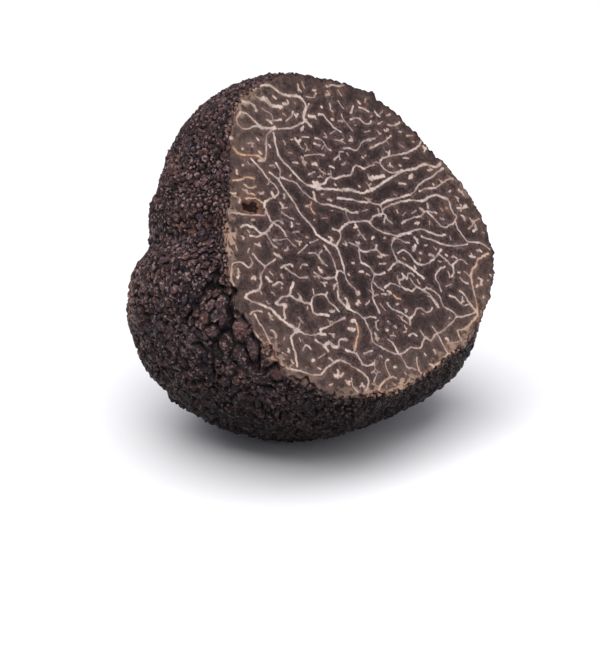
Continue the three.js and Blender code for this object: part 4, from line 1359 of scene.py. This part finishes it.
crust = math(tree, "MULTIPLY", noted(tree, "crust"), mottle(tree, 2.4, 0.3, 0.55, 2.0, 16.0))
from_rim = math(tree, "ADD", noted(tree, "rim"), share(mottle(tree, 0.8, 0.3, 0.7, 3.0, 17.0), 0.6))
pale_line = math(tree, "MULTIPLY", crust, ramp(tree, from_rim, 0.85, 0.6))
patches = math(tree, "MULTIPLY", crust, mottle(tree, 1.0, 0.48, 0.56, 2.0, 26.0))
pale_line = math(tree, "MAXIMUM", pale_line, math(
    tree, "MULTIPLY", patches, ramp(tree, from_rim, 2.2, 1.5)))
colour = mix(tree, share(pale_line, 0.8), colour, PALE_EDGE)
colour = mix(tree, ramp(tree, from_rim, 0.55, 0.3), colour, mix(tree, crust, DARK_SKIN, RUSTY_SKIN))
tree.links.new(colour, shader.inputs["Base Color"])
shader.inputs["Roughness"].default_value = 0.5
shader.inputs["Specular IOR Level"].default_value = 0.22
bump = add_node(tree, "ShaderNodeBump", [
    ("Strength", 0.35), ("Distance", 0.0001), ("Height", mottle(tree, 0.3, 0.2, 0.8, 3.0, 9.0))])
tree.links.new(bump.outputs["Normal"], shader.inputs["Normal"])
mesh.materials.append(skin)
mesh.materials.append(flesh)
print("flesh uses", len(tree.nodes), "nodes")

# %% Hand the piece over
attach(body, "root")
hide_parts("truffle")

# %% [markdown]
# ## Table, light and camera
#
# The truffle stands on a wide white sheet, under a soft light from above and a gentler one from the
# front. Soft light suits a black thing: small lamps would leave white sparks on the crowns and
# lose the grooves.

# %% Table
TABLE_REACH = 3.0  # metres from the middle to each side
TABLE_DROP = 0.00005  # metres, so that the sheet doesn't lie in the flat spot's own plane
floor_mesh = bpy.data.meshes.new("table")
corners = [(x * TABLE_REACH, y * TABLE_REACH, 0) for x, y in ((-1, -1), (1, -1), (1, 1), (-1, 1))]
floor_mesh.from_pydata(corners, [], [(0, 1, 2, 3)])
floor = bpy.data.objects.new("table", floor_mesh)
floor.location.z = -TABLE_DROP
bpy.context.scene.collection.objects.link(floor)
paper, tree, shader = new_material("white_paper")
shader.inputs["Base Color"].default_value = (0.86, 0.86, 0.87, 1)
shader.inputs["Roughness"].default_value = 0.9
floor_mesh.materials.append(paper)

# %% Lights
AIM = Vector((0.00154, -0.00746, 0.0221))  # metres
LAMPS = {  # turn and rise in degrees, distance and size in metres, watts
    "top_light": (-30, 75, 2.4, 2.9, 95),
    "front_light": (20, 36, 1.2, 0.8, 3),
}
WORLD_COLOUR, WORLD_STRENGTH = (0.88, 0.86, 1.0, 1), 0.25  # a faint bluish light from all sides


def soft_light(name, turn, rise, far, size, watts):
    """A square lamp at a direction and distance from the aim point, facing it."""
    lamp = bpy.data.lights.new(name, "AREA")
    lamp.size, lamp.energy = size, watts
    light = bpy.data.objects.new(name, lamp)
    offset = Vector(direction(turn, rise)) * far
    light.location = AIM + offset
    light.rotation_euler = offset.to_track_quat("Z", "Y").to_euler()
    bpy.context.scene.collection.objects.link(light)


for name, lamp in LAMPS.items():
    soft_light(name, *lamp)
world = bpy.data.worlds.new("studio")
bpy.context.scene.world = world
world.use_nodes = True
background = world.node_tree.nodes["Background"].inputs
background["Color"].default_value = WORLD_COLOUR
background["Strength"].default_value = WORLD_STRENGTH

# %% Camera
CAMERA_RISE, CAMERA_FAR, LENS = 20.0, 0.32, 100.0  # degrees, metres, mm
camera = bpy.data.objects.new("camera", bpy.data.cameras.new("camera"))
camera.data.lens = LENS
camera.data.clip_start = 0.01
offset = Vector(direction(0, CAMERA_RISE)) * CAMERA_FAR
camera.location = AIM + offset
camera.rotation_euler = offset.to_track_quat("Z", "Y").to_euler()
bpy.context.scene.collection.objects.link(camera)
bpy.context.scene.camera = camera
bpy.context.scene.view_settings.view_transform = "Standard"
